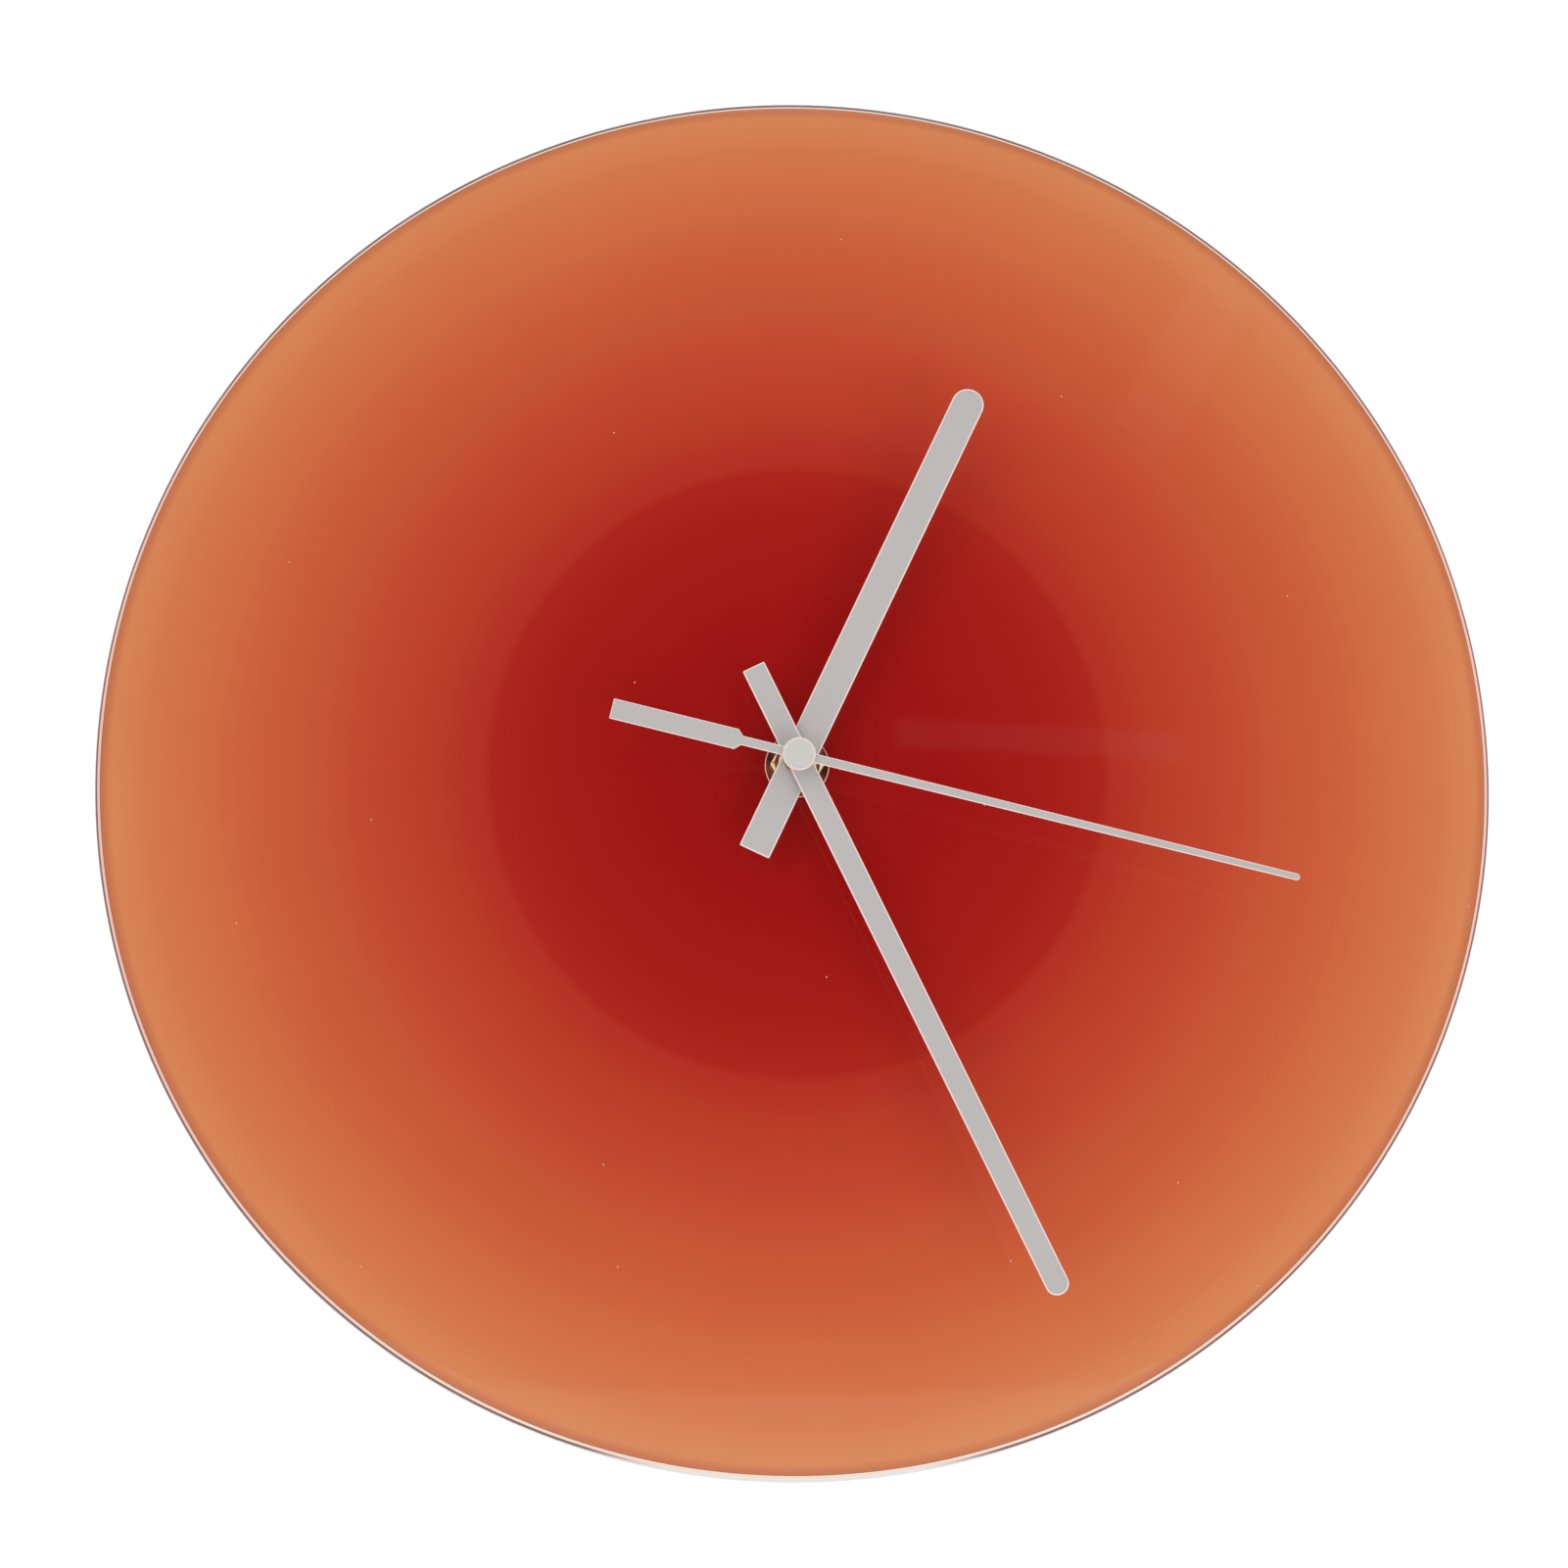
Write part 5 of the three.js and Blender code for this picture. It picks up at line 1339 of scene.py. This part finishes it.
class CLOCK_OT_movement_case(bpy.types.Operator):
    """Model the movement's case with its battery bay"""

    bl_idname = "clock.movement_case"
    bl_label = "Movement Case"

    def execute(self, context):
        movement = context.scene.clock_movement
        sizes = CaseSizes(movement)
        past = sizes.back - MM
        bay_corner = 0.4 * MM
        notch = 9 * MM
        case = slab(
            "movement_case_fine",
            (sizes.left, sizes.back, sizes.bottom),
            (sizes.right, sizes.front, sizes.top),
            movement.case_corner,
        )
        bevel(case, movement.edge_softness, 3, 60)
        chamber = slab(
            "chamber",
            (-sizes.inside, past, sizes.chamber_low),
            (sizes.inside, sizes.floor, sizes.ceiling),
            movement.case_corner - movement.wall,
            upper,
        )
        bay = slab(
            "bay",
            (-sizes.inside, past, sizes.bay_low),
            (sizes.inside, sizes.floor, sizes.bay_top),
            bay_corner,
        )
        cover_seat = slab(
            "cover_seat",
            (sizes.left - MM, past, sizes.seam),
            (sizes.right + MM, sizes.cover_front, sizes.top + MM),
        )
        low, high = sizes.bottom - MM, sizes.bay_low + MM
        thumb_notch = rod(notch, (0, -sizes.back, low), (0, -sizes.back, high), 96)
        carve(case, chamber, bay, cover_seat, thumb_notch)
        carve(case, pin(BUSH_HOLE, sizes.floor - MM, sizes.front + MM))
        carve(case, *self.windows(sizes, movement), *self.contact_slots(sizes, movement))
        fuse(case, *self.pillars(sizes), *self.bosses(sizes), *self.cradle_ribs(sizes))
        carve(case, *self.boss_holes())
        evened(case)
        plastic = moulded_finish("case_plastic", movement.case, 0.42)
        dress(case, "clock_body", "movement_case", plastic, "case_plastic")
        return {"FINISHED"}

    @staticmethod
    def windows(sizes, movement):
        """Cutters for the windows that the snap hooks catch in."""
        half = HOOK_HALF + movement.ease
        for x, wall, upwards, tip in sizes.hooks():
            thick = movement.wall if upwards > 0 else movement.bay_wall
            ends = sorted((wall - upwards * MM, wall + upwards * (thick + MM)))
            low = (x - half, tip - BARB - movement.ease, ends[0])
            yield slab("window", low, (x + half, tip + movement.ease, ends[1]))

    @staticmethod
    def contact_slots(sizes, movement):
        """Cutters for the slots that the contacts' tails pass through."""
        back = back_of("positive_contact")
        half = movement.strip / 2 + movement.ease
        for side in (-1, 1):
            middle = side * (sizes.inside - movement.strip / 2)
            low = (middle - half, back - movement.ease, sizes.bay_top - MM)
            high = (middle + half, back + TAIL + movement.ease, sizes.chamber_low + MM)
            yield slab("slot", low, high)

    @staticmethod
    def pillars(sizes):
        """Posts that carry the corners of the bridge, each with a spigot through it."""
        inset = 4.4 * MM
        post, spigot = 1.3 * MM, 0.8 * MM
        across = sizes.inside - inset
        places = (
            (-across, sizes.ceiling - inset),
            (-across, sizes.chamber_low + inset),
            (across, sizes.chamber_low + inset),
            (across, axis_of("rotor_spin").z + inset),
        )
        for x, z in places:
            centre = Vector((x, 0, z))
            yield pin(post, front_of("gear_bridge") + HAIR, sizes.in_floor, centre, 32)
            yield pin(spigot, back_of("stator") + MM, sizes.in_floor, centre, 32)

    @staticmethod
    def bosses(sizes):
        """Bosses for the arbors' front ends and the post of the intermediate wheel."""
        reach = 1.2 * MM
        post = 0.7 * MM
        for joint, shaft in BEARINGS:
            yield pin(BOSS, front_of(shaft) - reach, sizes.in_floor, axis_of(joint), 32)
        end = front_of("fifth_wheel") - reach
        yield pin(post, end, sizes.in_floor, axis_of("intermediate_spin"), 32)

    @staticmethod
    def boss_holes():
        """Cutters for the blind holes of the bosses."""
        for joint, shaft in BEARINGS:
            end = front_of(shaft)
            yield pin(PIVOT, end - 2 * MM, end + 0.3 * MM, axis_of(joint), 32)

    @staticmethod
    def cradle_ribs(sizes):
        """Wedges in the bay's front corners that keep the battery in line."""
        leg = 2.8 * MM
        half = 0.6 * MM
        sunk = 0.4 * MM
        for x in (-13 * MM, 13 * MM):
            for wall, upwards in ((sizes.bay_low, 1), (sizes.bay_top, -1)):
                tip = wall + upwards * leg
                ends = sorted((wall - upwards * sunk, tip))
                low = (x - half, sizes.floor - leg, ends[0])
                rib = slab("rib", low, (x + half, sizes.in_floor, ends[1]))
                yield nudge(
                    rib,
                    lambda point, tip=tip: point.y > -sizes.floor + leg / 2
                    and abs(point.z - tip) < half,
                    (0, 0, -upwards * leg),
                )


# Joint and piece of each arbor that turns in a boss of the case
BEARINGS = (
    ("third_spin", "third_wheel"),
    ("fifth_spin", "fifth_wheel"),
    ("rotor_spin", "rotor_shaft"),
    ("setting_spin", "setting_pinion"),
)


class CLOCK_OT_movement_cover(bpy.types.Operator):
    """Model the cover with its lip, its snap hooks and the knob's cup"""

    bl_idname = "clock.movement_cover"
    bl_label = "Movement Cover"

    def execute(self, context):
        movement = context.scene.clock_movement
        sizes = CaseSizes(movement)
        root = sizes.back + movement.cover / 2
        past = sizes.back - MM
        cup_wall = 0.8 * MM
        flare = 1.3 * MM
        drop = 0.3 * MM
        shaft_hole = 1.08 * MM
        plate = slab(
            "movement_cover_fine",
            (sizes.left, sizes.back, sizes.seam + movement.ease),
            (sizes.right, sizes.cover_front - HAIR, sizes.top),
            movement.case_corner,
            upper,
        )
        bevel(plate, movement.edge_softness, 3, 60)
        knob = axis_of("setting_spin")
        cup_floor = front_of("setting_knob") + movement.gap
        pocket = KNOB_RADIUS + movement.gap
        cup_front = cup_floor + movement.cover
        cup = pin(pocket + cup_wall, root, cup_front, knob, 96)
        rotor = axis_of("rotor_spin")
        rear_end = back_of("rotor_shaft")
        bearing = pin(BOSS, root, rear_end + 0.6 * MM, rotor, 32)
        fuse(plate, self.lip(sizes, movement, root), cup, bearing)
        fuse(plate, *self.hooks(sizes, movement, root))
        mouth = [(0, past), (pocket + flare, past), (pocket, sizes.back + drop)]
        mouth += [(pocket, cup_floor), (shaft_hole, cup_floor)]
        mouth += [(shaft_hole, cup_front + MM), (0, cup_front + MM)]
        carve(plate, turned("mouth", mouth, 96, knob))
        carve(plate, pin(PIVOT, rear_end - drop, rear_end + 2 * MM, rotor, 32))
        carve(plate, *self.signs(sizes))
        evened(plate)
        plastic = moulded_finish("cover_plastic", movement.case, 0.36)
        dress(plate, "clock_body", "movement_cover", plastic, "case_plastic")
        return {"FINISHED"}

    @staticmethod
    def lip(sizes, movement, root):
        """Low wall that drops inside the case."""
        across = sizes.inside - movement.ease
        low = sizes.chamber_low + movement.ease
        high = sizes.ceiling - movement.ease
        corner = movement.case_corner - movement.wall
        end = sizes.cover_front + movement.lip
        wall = 0.8 * MM
        block = slab("lip", (-across, root, low), (across, end, high), corner, upper)
        hollow = slab(
            "hollow",
            (-across + wall, root - MM, low + wall),
            (across - wall, end + MM, high - wall),
            corner - wall,
            upper,
        )
        return carve(block, hollow)

    @staticmethod
    def hooks(sizes, movement, root):
        """Tongues on the lip, each with a barb that slopes off towards its tip."""
        proud = HAIR / 2
        sides = HOOK_HALF - HAIR
        for x, wall, upwards, tip in sizes.hooks():
            outer = wall - upwards * movement.ease
            inner = outer - upwards * 0.8 * MM
            ends = sorted((inner - upwards * proud, outer + upwards * proud))
            low = (x - HOOK_HALF, root, ends[0])
            yield slab("tongue", low, (x + HOOK_HALF, tip, ends[1]))
            far = outer + upwards * BARB
            ends = sorted(((inner + outer) / 2, far))
            low = (x - sides, tip - BARB, ends[0])
            hook = slab("barb", low, (x + sides, tip - HAIR, ends[1]))
            yield nudge(
                hook,
                lambda point, far=far, tip=tip: point.y < -tip + BARB / 2
                and abs(point.z - far) < BARB / 4,
                (0, 0, -upwards * BARB),
            )

    @staticmethod
    def signs(sizes):
        """Cutters for the plus and minus signs beside the battery's ends."""
        arm = 1.5 * MM
        half = 0.3 * MM
        past = sizes.back - MM
        depth = sizes.back + 0.3 * MM
        height = sizes.seam + 4 * MM
        for x in (-22 * MM, 22 * MM):
            low = (x - arm, past, height - half)
            yield slab("level_bar", low, (x + arm, depth, height + half))
            if x > 0:
                low = (x - half, past, height - arm)
                yield slab("upright_bar", low, (x + half, depth, height + arm))


def stepped(start, shelf, end, radius):
    """Points (across, height) of a strip that runs up, steps back on a shelf and runs up again."""
    path = [start, *bend((start[0] - radius, shelf - radius), radius, 0, 90)]
    path += bend((end[0] + radius, shelf + radius), radius, -90, -180)
    return [*path, end]


class CLOCK_OT_wall_hanger(bpy.types.Operator):
    """Model the stepped steel hanger with its keyhole"""

    bl_idname = "clock.wall_hanger"
    bl_label = "Wall Hanger"

    def execute(self, context):
        movement = context.scene.clock_movement
        low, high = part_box("wall_hanger")
        steel = movement.steel
        front = front_of("wall_hanger") - steel / 2
        back = back_of("wall_hanger") + steel / 2
        shelf = CaseSizes(movement).top + movement.gap + steel / 2
        past = 2 * MM
        turn = 0.8 * MM
        corner = 4 * MM
        nail_slot, nail_head = 1.8 * MM, 3.6 * MM
        side = stepped((front, low.z), shelf, (back, high.z), turn)
        path = [Vector((low.x, -depth, height)) for depth, height in side]
        hanger = folded("wall_hanger_fine", path, (high.x - low.x, 0, 0), steel)
        corners = (low.x, back - past, low.z), (high.x, front + past, high.z)
        combine(hanger, [slab("outline", *corners, corner)], "INTERSECT")
        nail = Vector((0, 0, 0))
        head = Vector((0, 0, -6.5 * MM))
        deep = back - past, back + past
        slot = slab("slot", (-nail_slot, deep[0], head.z), (nail_slot, deep[1], nail.z))
        carve(hanger, slot, pin(nail_slot, *deep, nail, 48), pin(nail_head, *deep, head, 64))
        carve(hanger, pin(BUSH_HOLE, front - past, front + past))
        bevel(hanger, 0.12 * MM, 2, 50)
        evened(hanger, 35)
        dress(hanger, "clock_body", "wall_hanger", plated_steel_finish(), "zinc_steel")
        return {"FINISHED"}


class CLOCK_OT_battery(bpy.types.Operator):
    """Model the battery with its sleeve, its nub and its crimped ends"""

    bl_idname = "clock.battery"
    bl_label = "Battery"

    def execute(self, context):
        movement = context.scene.clock_movement
        low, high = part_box("battery_cell")
        middle = middle_of("battery_cell")
        radius = (high.z - low.z) / 2
        shoulder = high.x - 1.1 * MM
        rolled = 0.35 * MM
        roll = radius - 0.8 * MM
        shrunk = radius - 0.12 * MM
        bare = 6.0 * MM
        nub = ((0, 0), (2.3, 0), (2.6, -0.08), (2.75, -0.3))
        cap = ((2.75, 0.15), (2.95, -0.02), (5.5, -0.1), (5.8, -0.4), (6.05, -0.35))
        foot = ((5.9, 0.45), (5.2, 0.4), (4.9, 0.15), (0, 0.12))
        profile = offset_points(high.x, nub) + offset_points(shoulder, cap)
        profile += reversed(bend((roll, shoulder - rolled), rolled, 0, 130))
        profile += [(shrunk, shoulder - 0.9 * MM), (radius, shoulder - 1.5 * MM)]
        profile += [(radius, low.x + 1.2 * MM), (shrunk, low.x + 0.6 * MM)]
        profile += bend((roll, low.x + rolled), rolled, 0, -130)
        profile += offset_points(low.x, foot)
        cell = turned("battery_cell_fine", profile, 96, middle, 40, True)
        for material in (sleeve_finish(movement), plated_steel_finish()):
            cell.data.materials.append(material)
        for face in cell.data.polygons:
            out = math.hypot(face.center.y - middle.y, face.center.z - middle.z)
            face.material_index = int(out < bare)
        place_on(cell, "battery", "battery_cell", "battery_sleeve")
        return {"FINISHED"}


def offset_points(base, points):
    """Profile points from a base, each given in millimetres as (radius, offset)."""
    return [(radius * MM, base + offset * MM) for radius, offset in points]


class CLOCK_OT_contacts(bpy.types.Operator):
    """Model the folded contact strips at the battery's ends"""

    bl_idname = "clock.contacts"
    bl_label = "Contacts"

    def execute(self, context):
        movement = context.scene.clock_movement
        sizes = CaseSizes(movement)
        half = movement.strip / 2
        low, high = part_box("positive_contact")
        right, foot = high.x - half, low.x + half
        bottom, top = low.z, sizes.bay_top - movement.gap
        root = top - MM
        steel = plated_steel_finish()
        shelf = sizes.chamber_low + movement.ease + half
        blade = [(right, bottom), (right, top)]
        tail = stepped((right, root), shelf, (foot, high.z), 0.5 * MM)
        self.make_contact("positive_contact", blade, tail, movement, steel)
        low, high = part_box("negative_contact")
        left = low.x + half
        bow = high.x - half - left
        flat = 1.4 * MM
        middle = (bottom + top) / 2
        pad = 1.2 * MM
        blade = [(left, bottom)]
        halves = (bottom + flat, middle - pad, 1), (middle + pad, top - flat, -1)
        for start, end, outwards in halves:
            for step in range(11):
                share = step / 10
                across = bow * (1 - outwards * math.cos(math.pi * share)) / 2
                blade.append((left + across, start + (end - start) * share))
        blade.append((left, top))
        tail = [(left, root), (left, high.z)]
        self.make_contact("negative_contact", blade, tail, movement, steel)
        return {"FINISHED"}

    @staticmethod
    def make_contact(node, blade, tail, movement, steel):
        """A wide blade in the bay and a narrow tail up to the circuit board."""
        back = back_of("positive_contact")
        wide, narrow = (
            folded(
                f"{node}_fine",
                [(across, -back, up) for across, up in path],
                (0, -width, 0),
                movement.strip,
            )
            for path, width in ((blade, 8 * MM), (tail, TAIL))
        )
        fuse(wide, narrow)
        bevel(wide, 0.06 * MM, 1, 50)
        smoothed(named(wide, f"{node}_fine"), 35)
        dress(wide, "clock_body", node, steel, "zinc_steel")


class CLOCK_OT_setting_knob(bpy.types.Operator):
    """Model the fluted, dished knob that sets the hands"""

    bl_idname = "clock.setting_knob"
    bl_label = "Setting Knob"

    def execute(self, context):
        back, front = ends_of("setting_knob")
        centre = axis_of("setting_spin")
        radius = KNOB_RADIUS
        soft = 0.2 * MM
        floor = back + 0.5 * MM
        socket, socket_end = 1.05 * MM, back + 0.98 * MM
        profile = [(0, front), (radius - soft, front), (radius, front - soft)]
        profile += bend((radius - soft, back + soft), soft, 0, -90, 4)
        profile += [(radius - MM, back), (radius - 1.2 * MM, back + 0.1 * MM)]
        profile += [(radius - 1.6 * MM, floor), (0, floor)]
        knob = turned("setting_knob_fine", profile, 128, centre, 40)
        flutes = 16
        flute = 1.2 * MM
        out = radius - 0.35 * MM + flute
        for count in range(flutes):
            angle = 2 * math.pi * (count + 0.5) / flutes
            place = centre + Vector((math.cos(angle), 0, math.sin(angle))) * out
            carve(knob, pin(flute, back - MM, front + MM, place, 24))
        carve(knob, pin(socket, socket_end, front + MM, centre, 32))
        cleaned(knob)
        bevel(knob, 0.06 * MM, 1, 30)
        smoothed(cleaned(knob), 35)
        plastic = moulded_finish("knob_plastic", IVORY, 0.34)
        dress(knob, "setting_shaft", "setting_knob", plastic, "white_plastic")
        return {"FINISHED"}


class CLOCK_OT_motor_and_board(bpy.types.Operator):
    """Model the coil, the crystal and the chip"""

    bl_idname = "clock.motor_and_board"
    bl_label = "Motor and Board"

    def execute(self, context):
        self.make_bobbin()
        self.make_winding()
        self.make_crystal()
        self.make_chip()
        return {"FINISHED"}

    @staticmethod
    def make_bobbin():
        """The moulded bobbin, with a flange at each end."""
        low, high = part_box("coil_bobbin")
        bore, barrel, flange = 1.54 * MM, 2.1 * MM, 3.2 * MM
        thick = 0.6 * MM
        soft = 0.12 * MM
        brim = flange - soft
        ends = (low.x, low.x + thick), (high.x - thick, high.x)
        first, second = (
            [(brim, start), (flange, start + soft), (flange, end - soft), (brim, end)]
            for start, end in ends
        )
        between = [(barrel, low.x + thick), (barrel, high.x - thick)]
        profile = [(bore, low.x), *first, *between, *second, (bore, high.x)]
        amber = moulded_finish("amber_plastic", AMBER, 0.35)
        way = {"centre": middle_of("coil_bobbin"), "across": True}
        turn_piece("coil_bobbin", profile, 64, amber, "amber_plastic", **way)

    @staticmethod
    def make_winding():
        """The wire that is wound on the bobbin, as a row of turns."""
        low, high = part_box("coil_winding")
        inner, outer = 2.15 * MM, 2.96 * MM
        groove = outer - 0.05 * MM
        turns = 40
        width = (high.x - low.x) / turns
        profile = [(inner, low.x)]
        for count in range(turns):
            start = low.x + count * width
            profile += [(groove, start), (outer, start + width / 2)]
        profile += [(groove, high.x), (inner, high.x)]
        way = {"centre": middle_of("coil_bobbin"), "smooth": 60, "across": True}
        turn_piece("coil_winding", profile, 64, wound_wire_finish(), "copper_wire", **way)

    @staticmethod
    def make_crystal():
        """The crystal's drawn can, with its rolled foot."""
        low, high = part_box("quartz_crystal")
        radius = 0.98 * MM
        neck = radius - 0.08 * MM
        foot, step = 0.35 * MM, 0.45 * MM
        end = 0.3 * MM
        profile = [(0, low.x), (radius, low.x), (radius, low.x + foot), (neck, low.x + step)]
        profile += bend((neck - end, high.x - end), end, 0, 90, 5)
        profile.append((0, high.x))
        way = {"centre": middle_of("quartz_crystal"), "smooth": 40, "across": True}
        turn_piece("quartz_crystal", profile, 48, plated_steel_finish(), "zinc_steel", **way)

    @staticmethod
    def make_chip():
        """The resin drop over the chip."""
        low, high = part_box("timing_chip")
        radius = (high.z - low.z) / 2
        back, base = ends_of("timing_chip")
        height = base - back
        dome = bend((0, 0), 1, 0, 90, 12)[:-1]
        profile = [(0, base), *((radius * out, base - height * up) for out, up in dome)]
        profile.append((0, base - height))
        resin = moulded_finish("chip_resin", RESIN, 0.18, 300.0)
        way = {"centre": middle_of("timing_chip"), "smooth": 60}
        turn_piece("timing_chip", profile, 48, resin, "chip_resin", **way)


class CLOCK_OT_inner_finishes(bpy.types.Operator):
    """Give the parts that stay as they are their finishes"""

    bl_idname = "clock.inner_finishes"
    bl_label = "Inner Finishes"

    def execute(self, context):
        finishes = (
            (moulded_finish("bridge_plastic", CREAM, 0.4), ["gear_bridge"]),
            (sheet_steel_finish(), ["stator", "coil_core"]),
            (board_finish(), ["circuit_board"]),
            (moulded_finish("magnet_metal", MAGNET, 0.3, 900.0), ["rotor_magnet"]),
            (plated_steel_finish(), ["second_arbor"]),
            (moulded_finish("white_plastic", IVORY, 0.35), WHITE_NODES),
        )
        for material, nodes in finishes:
            for node in nodes:
                coat_node(node, material)
        return {"FINISHED"}


WHEELS = ("fifth", "second", "third", "centre", "intermediate", "hour")
WHITE_NODES = ("rotor_shaft", "setting_pinion", *(f"{name}_wheel" for name in WHEELS))


# Studio

# Kinds of ray that show a surface, and the floor's height and pale colour
RAY_KINDS = ("Camera", "Glossy", "Transmission")
FLOOR = -2.4
FLOOR_PALE = (0.9, 0.9, 0.9, 1.0)


def seen_directly(nodes):
    """1 on rays that show a surface to the camera, in a mirror or through glass."""
    seen = [nodes.add("ShaderNodeLightPath", output=f"Is {kind} Ray") for kind in RAY_KINDS]
    return seen[0].at_least(seen[1]).at_least(seen[2])


def studio_floor_finish():
    """Pale floor that turns into the white backdrop far from the clock."""
    finish = Finish("studio_floor_finish", roughness=0.9, ior=1.1, glow=1.0)
    far = finish.from_centre().between(0.8, 3.2)
    white = far * seen_directly(finish)
    finish.set(
        colour=finish.mix(white, FLOOR_PALE, BLACK),
        glow_colour=finish.mix(white, BLACK, WHITE),
    )
    return finish.material


def studio_world(studio):
    """White behind the object, plain light on it."""
    world = bpy.data.worlds.new("studio_world")
    bpy.context.scene.world = world
    world.use_nodes = True
    nodes = Nodes(world.node_tree)
    shown = seen_directly(nodes)
    background = world.node_tree.nodes["Background"]
    nodes.fill(background.inputs["Color"], WHITE)
    nodes.fill(background.inputs["Strength"], studio.sky + shown * (1 - studio.sky))


def card(name, place, size, turn, glow):
    """A flat studio card that only reflections see."""
    deselect()
    angles = (math.pi / 2, 0, 0)
    bpy.ops.mesh.primitive_plane_add(size=1, location=place, rotation=angles)
    piece = named(bpy.context.object, name)
    piece.rotation_euler.rotate_axis("Z", math.radians(turn))
    piece.scale = (*size, 1)
    settle(piece)
    finish = Finish(f"{name}_finish", colour=BLACK, roughness=1.0, ior=1.0)
    finish.set(glow_colour=WHITE, glow=glow)
    piece.data.materials.append(finish.material)
    for rays in ("camera", "diffuse", "shadow", "transmission", "volume_scatter"):
        setattr(piece, f"visible_{rays}", False)


def soft_lamp(name, place, power):
    """A wide square lamp aimed at the clock."""
    lamp = bpy.data.lights.new(name, "AREA")
    lamp.shape = "SQUARE"
    lamp.size = 1.5
    lamp.energy = power
    piece = bpy.data.objects.new(name, lamp)
    piece.location = place
    piece.rotation_euler = (AXIS - Vector(place)).to_track_quat("-Z", "Y").to_euler()
    piece.visible_glossy = False
    bpy.context.scene.collection.objects.link(piece)


# Name, place, size, turn and glow of each card
CARDS = (
    ("dark_flag", (0, -1.2, 0.42), (2.7, 2.44), 0, 0.03),
    ("low_card", (0, -1.15, -0.8785), (2.7, 0.303), 0, 0.56),
    ("window_streak", (0.668, -1.15, 0.889), (0.44, 0.1), 59.7, 0.2),
    ("window_bar", (0.37, -1.15, 0.193), (0.41, 0.04), 0.5, 0.2),
)
KEY_PLACE = (-1.25, -1.9, 0.3)
FILL_PLACE = (1.25, -2.0, -1.3)


class CLOCK_OT_studio(bpy.types.Operator):
    """Set the pale studio, its lamps and the camera"""

    bl_idname = "clock.studio"
    bl_label = "Studio"

    def execute(self, context):
        studio = context.scene.clock_studio
        context.scene.view_settings.view_transform = "Standard"
        studio_world(studio)
        deselect()
        bpy.ops.mesh.primitive_plane_add(size=9, location=(0, 0, FLOOR))
        floor = named(bpy.context.object, "studio_floor")
        floor.data.materials.append(studio_floor_finish())
        settle(floor)
        for row in CARDS:
            card(*row)
        soft_lamp("key_lamp", KEY_PLACE, studio.key)
        soft_lamp("fill_lamp", FILL_PLACE, studio.fill)
        self.place_camera(context.scene, studio)
        return {"FINISHED"}

    @staticmethod
    def place_camera(scene, studio):
        """A long lens, a little below the clock and to its left."""
        camera = bpy.data.cameras.new("view_camera")
        camera.lens = studio.lens
        camera.sensor_width = 36
        camera.clip_end = 50
        piece = bpy.data.objects.new("view_camera", camera)
        scene.collection.objects.link(piece)
        level = math.cos(studio.under)
        across = -math.sin(studio.left) * level
        back = Vector((across, -math.cos(studio.left) * level, -math.sin(studio.under)))
        target = AXIS + Vector((studio.aim_across, -2.5 * MM, studio.aim_up))
        piece.location = target + back * studio.distance
        piece.rotation_euler = (-back).to_track_quat("-Z", "Y").to_euler()
        scene.camera = piece


class CLOCK_PT_panel(bpy.types.Panel):
    """Buttons that model the clock"""

    bl_idname = "CLOCK_PT_panel"
    bl_label = "Glass Wall Clock"
    bl_space_type = "VIEW_3D"
    bl_region_type = "UI"
    bl_category = "Clock"

    def draw(self, context):
        for operator in OPERATORS:
            self.layout.operator(operator.bl_idname)
        for group in settings():
            column = self.layout.column(align=True)
            for name in group.__annotations__:
                column.prop(group, name)


GROUPS = {
    "clock_glass": ClockGlass,
    "clock_hands": ClockHands,
    "clock_movement": ClockMovement,
    "clock_studio": ClockStudio,
}

OPERATORS = (
    CLOCK_OT_glass_dome,
    CLOCK_OT_backing_disc,
    CLOCK_OT_washers,
    CLOCK_OT_centre_nut,
    CLOCK_OT_threaded_bush,
    CLOCK_OT_bar_hands,
    CLOCK_OT_second_hand,
    CLOCK_OT_movement_case,
    CLOCK_OT_movement_cover,
    CLOCK_OT_wall_hanger,
    CLOCK_OT_battery,
    CLOCK_OT_contacts,
    CLOCK_OT_setting_knob,
    CLOCK_OT_motor_and_board,
    CLOCK_OT_inner_finishes,
    CLOCK_OT_studio,
)

CLASSES = (*GROUPS.values(), *OPERATORS, CLOCK_PT_panel)


def register():
    """Registers the classes and the settings."""
    for item in CLASSES:
        bpy.utils.register_class(item)
    for name, group in GROUPS.items():
        setattr(bpy.types.Scene, name, PointerProperty(type=group))


def unregister():
    """Removes the settings and the classes."""
    for name in GROUPS:
        delattr(bpy.types.Scene, name)
    for item in reversed(CLASSES):
        bpy.utils.unregister_class(item)


def main():
    """Models the whole clock."""
    register()
    for operator in OPERATORS:
        category, name = operator.bl_idname.split(".")
        getattr(getattr(bpy.ops, category), name)()


if __name__ == "__main__":
    main()
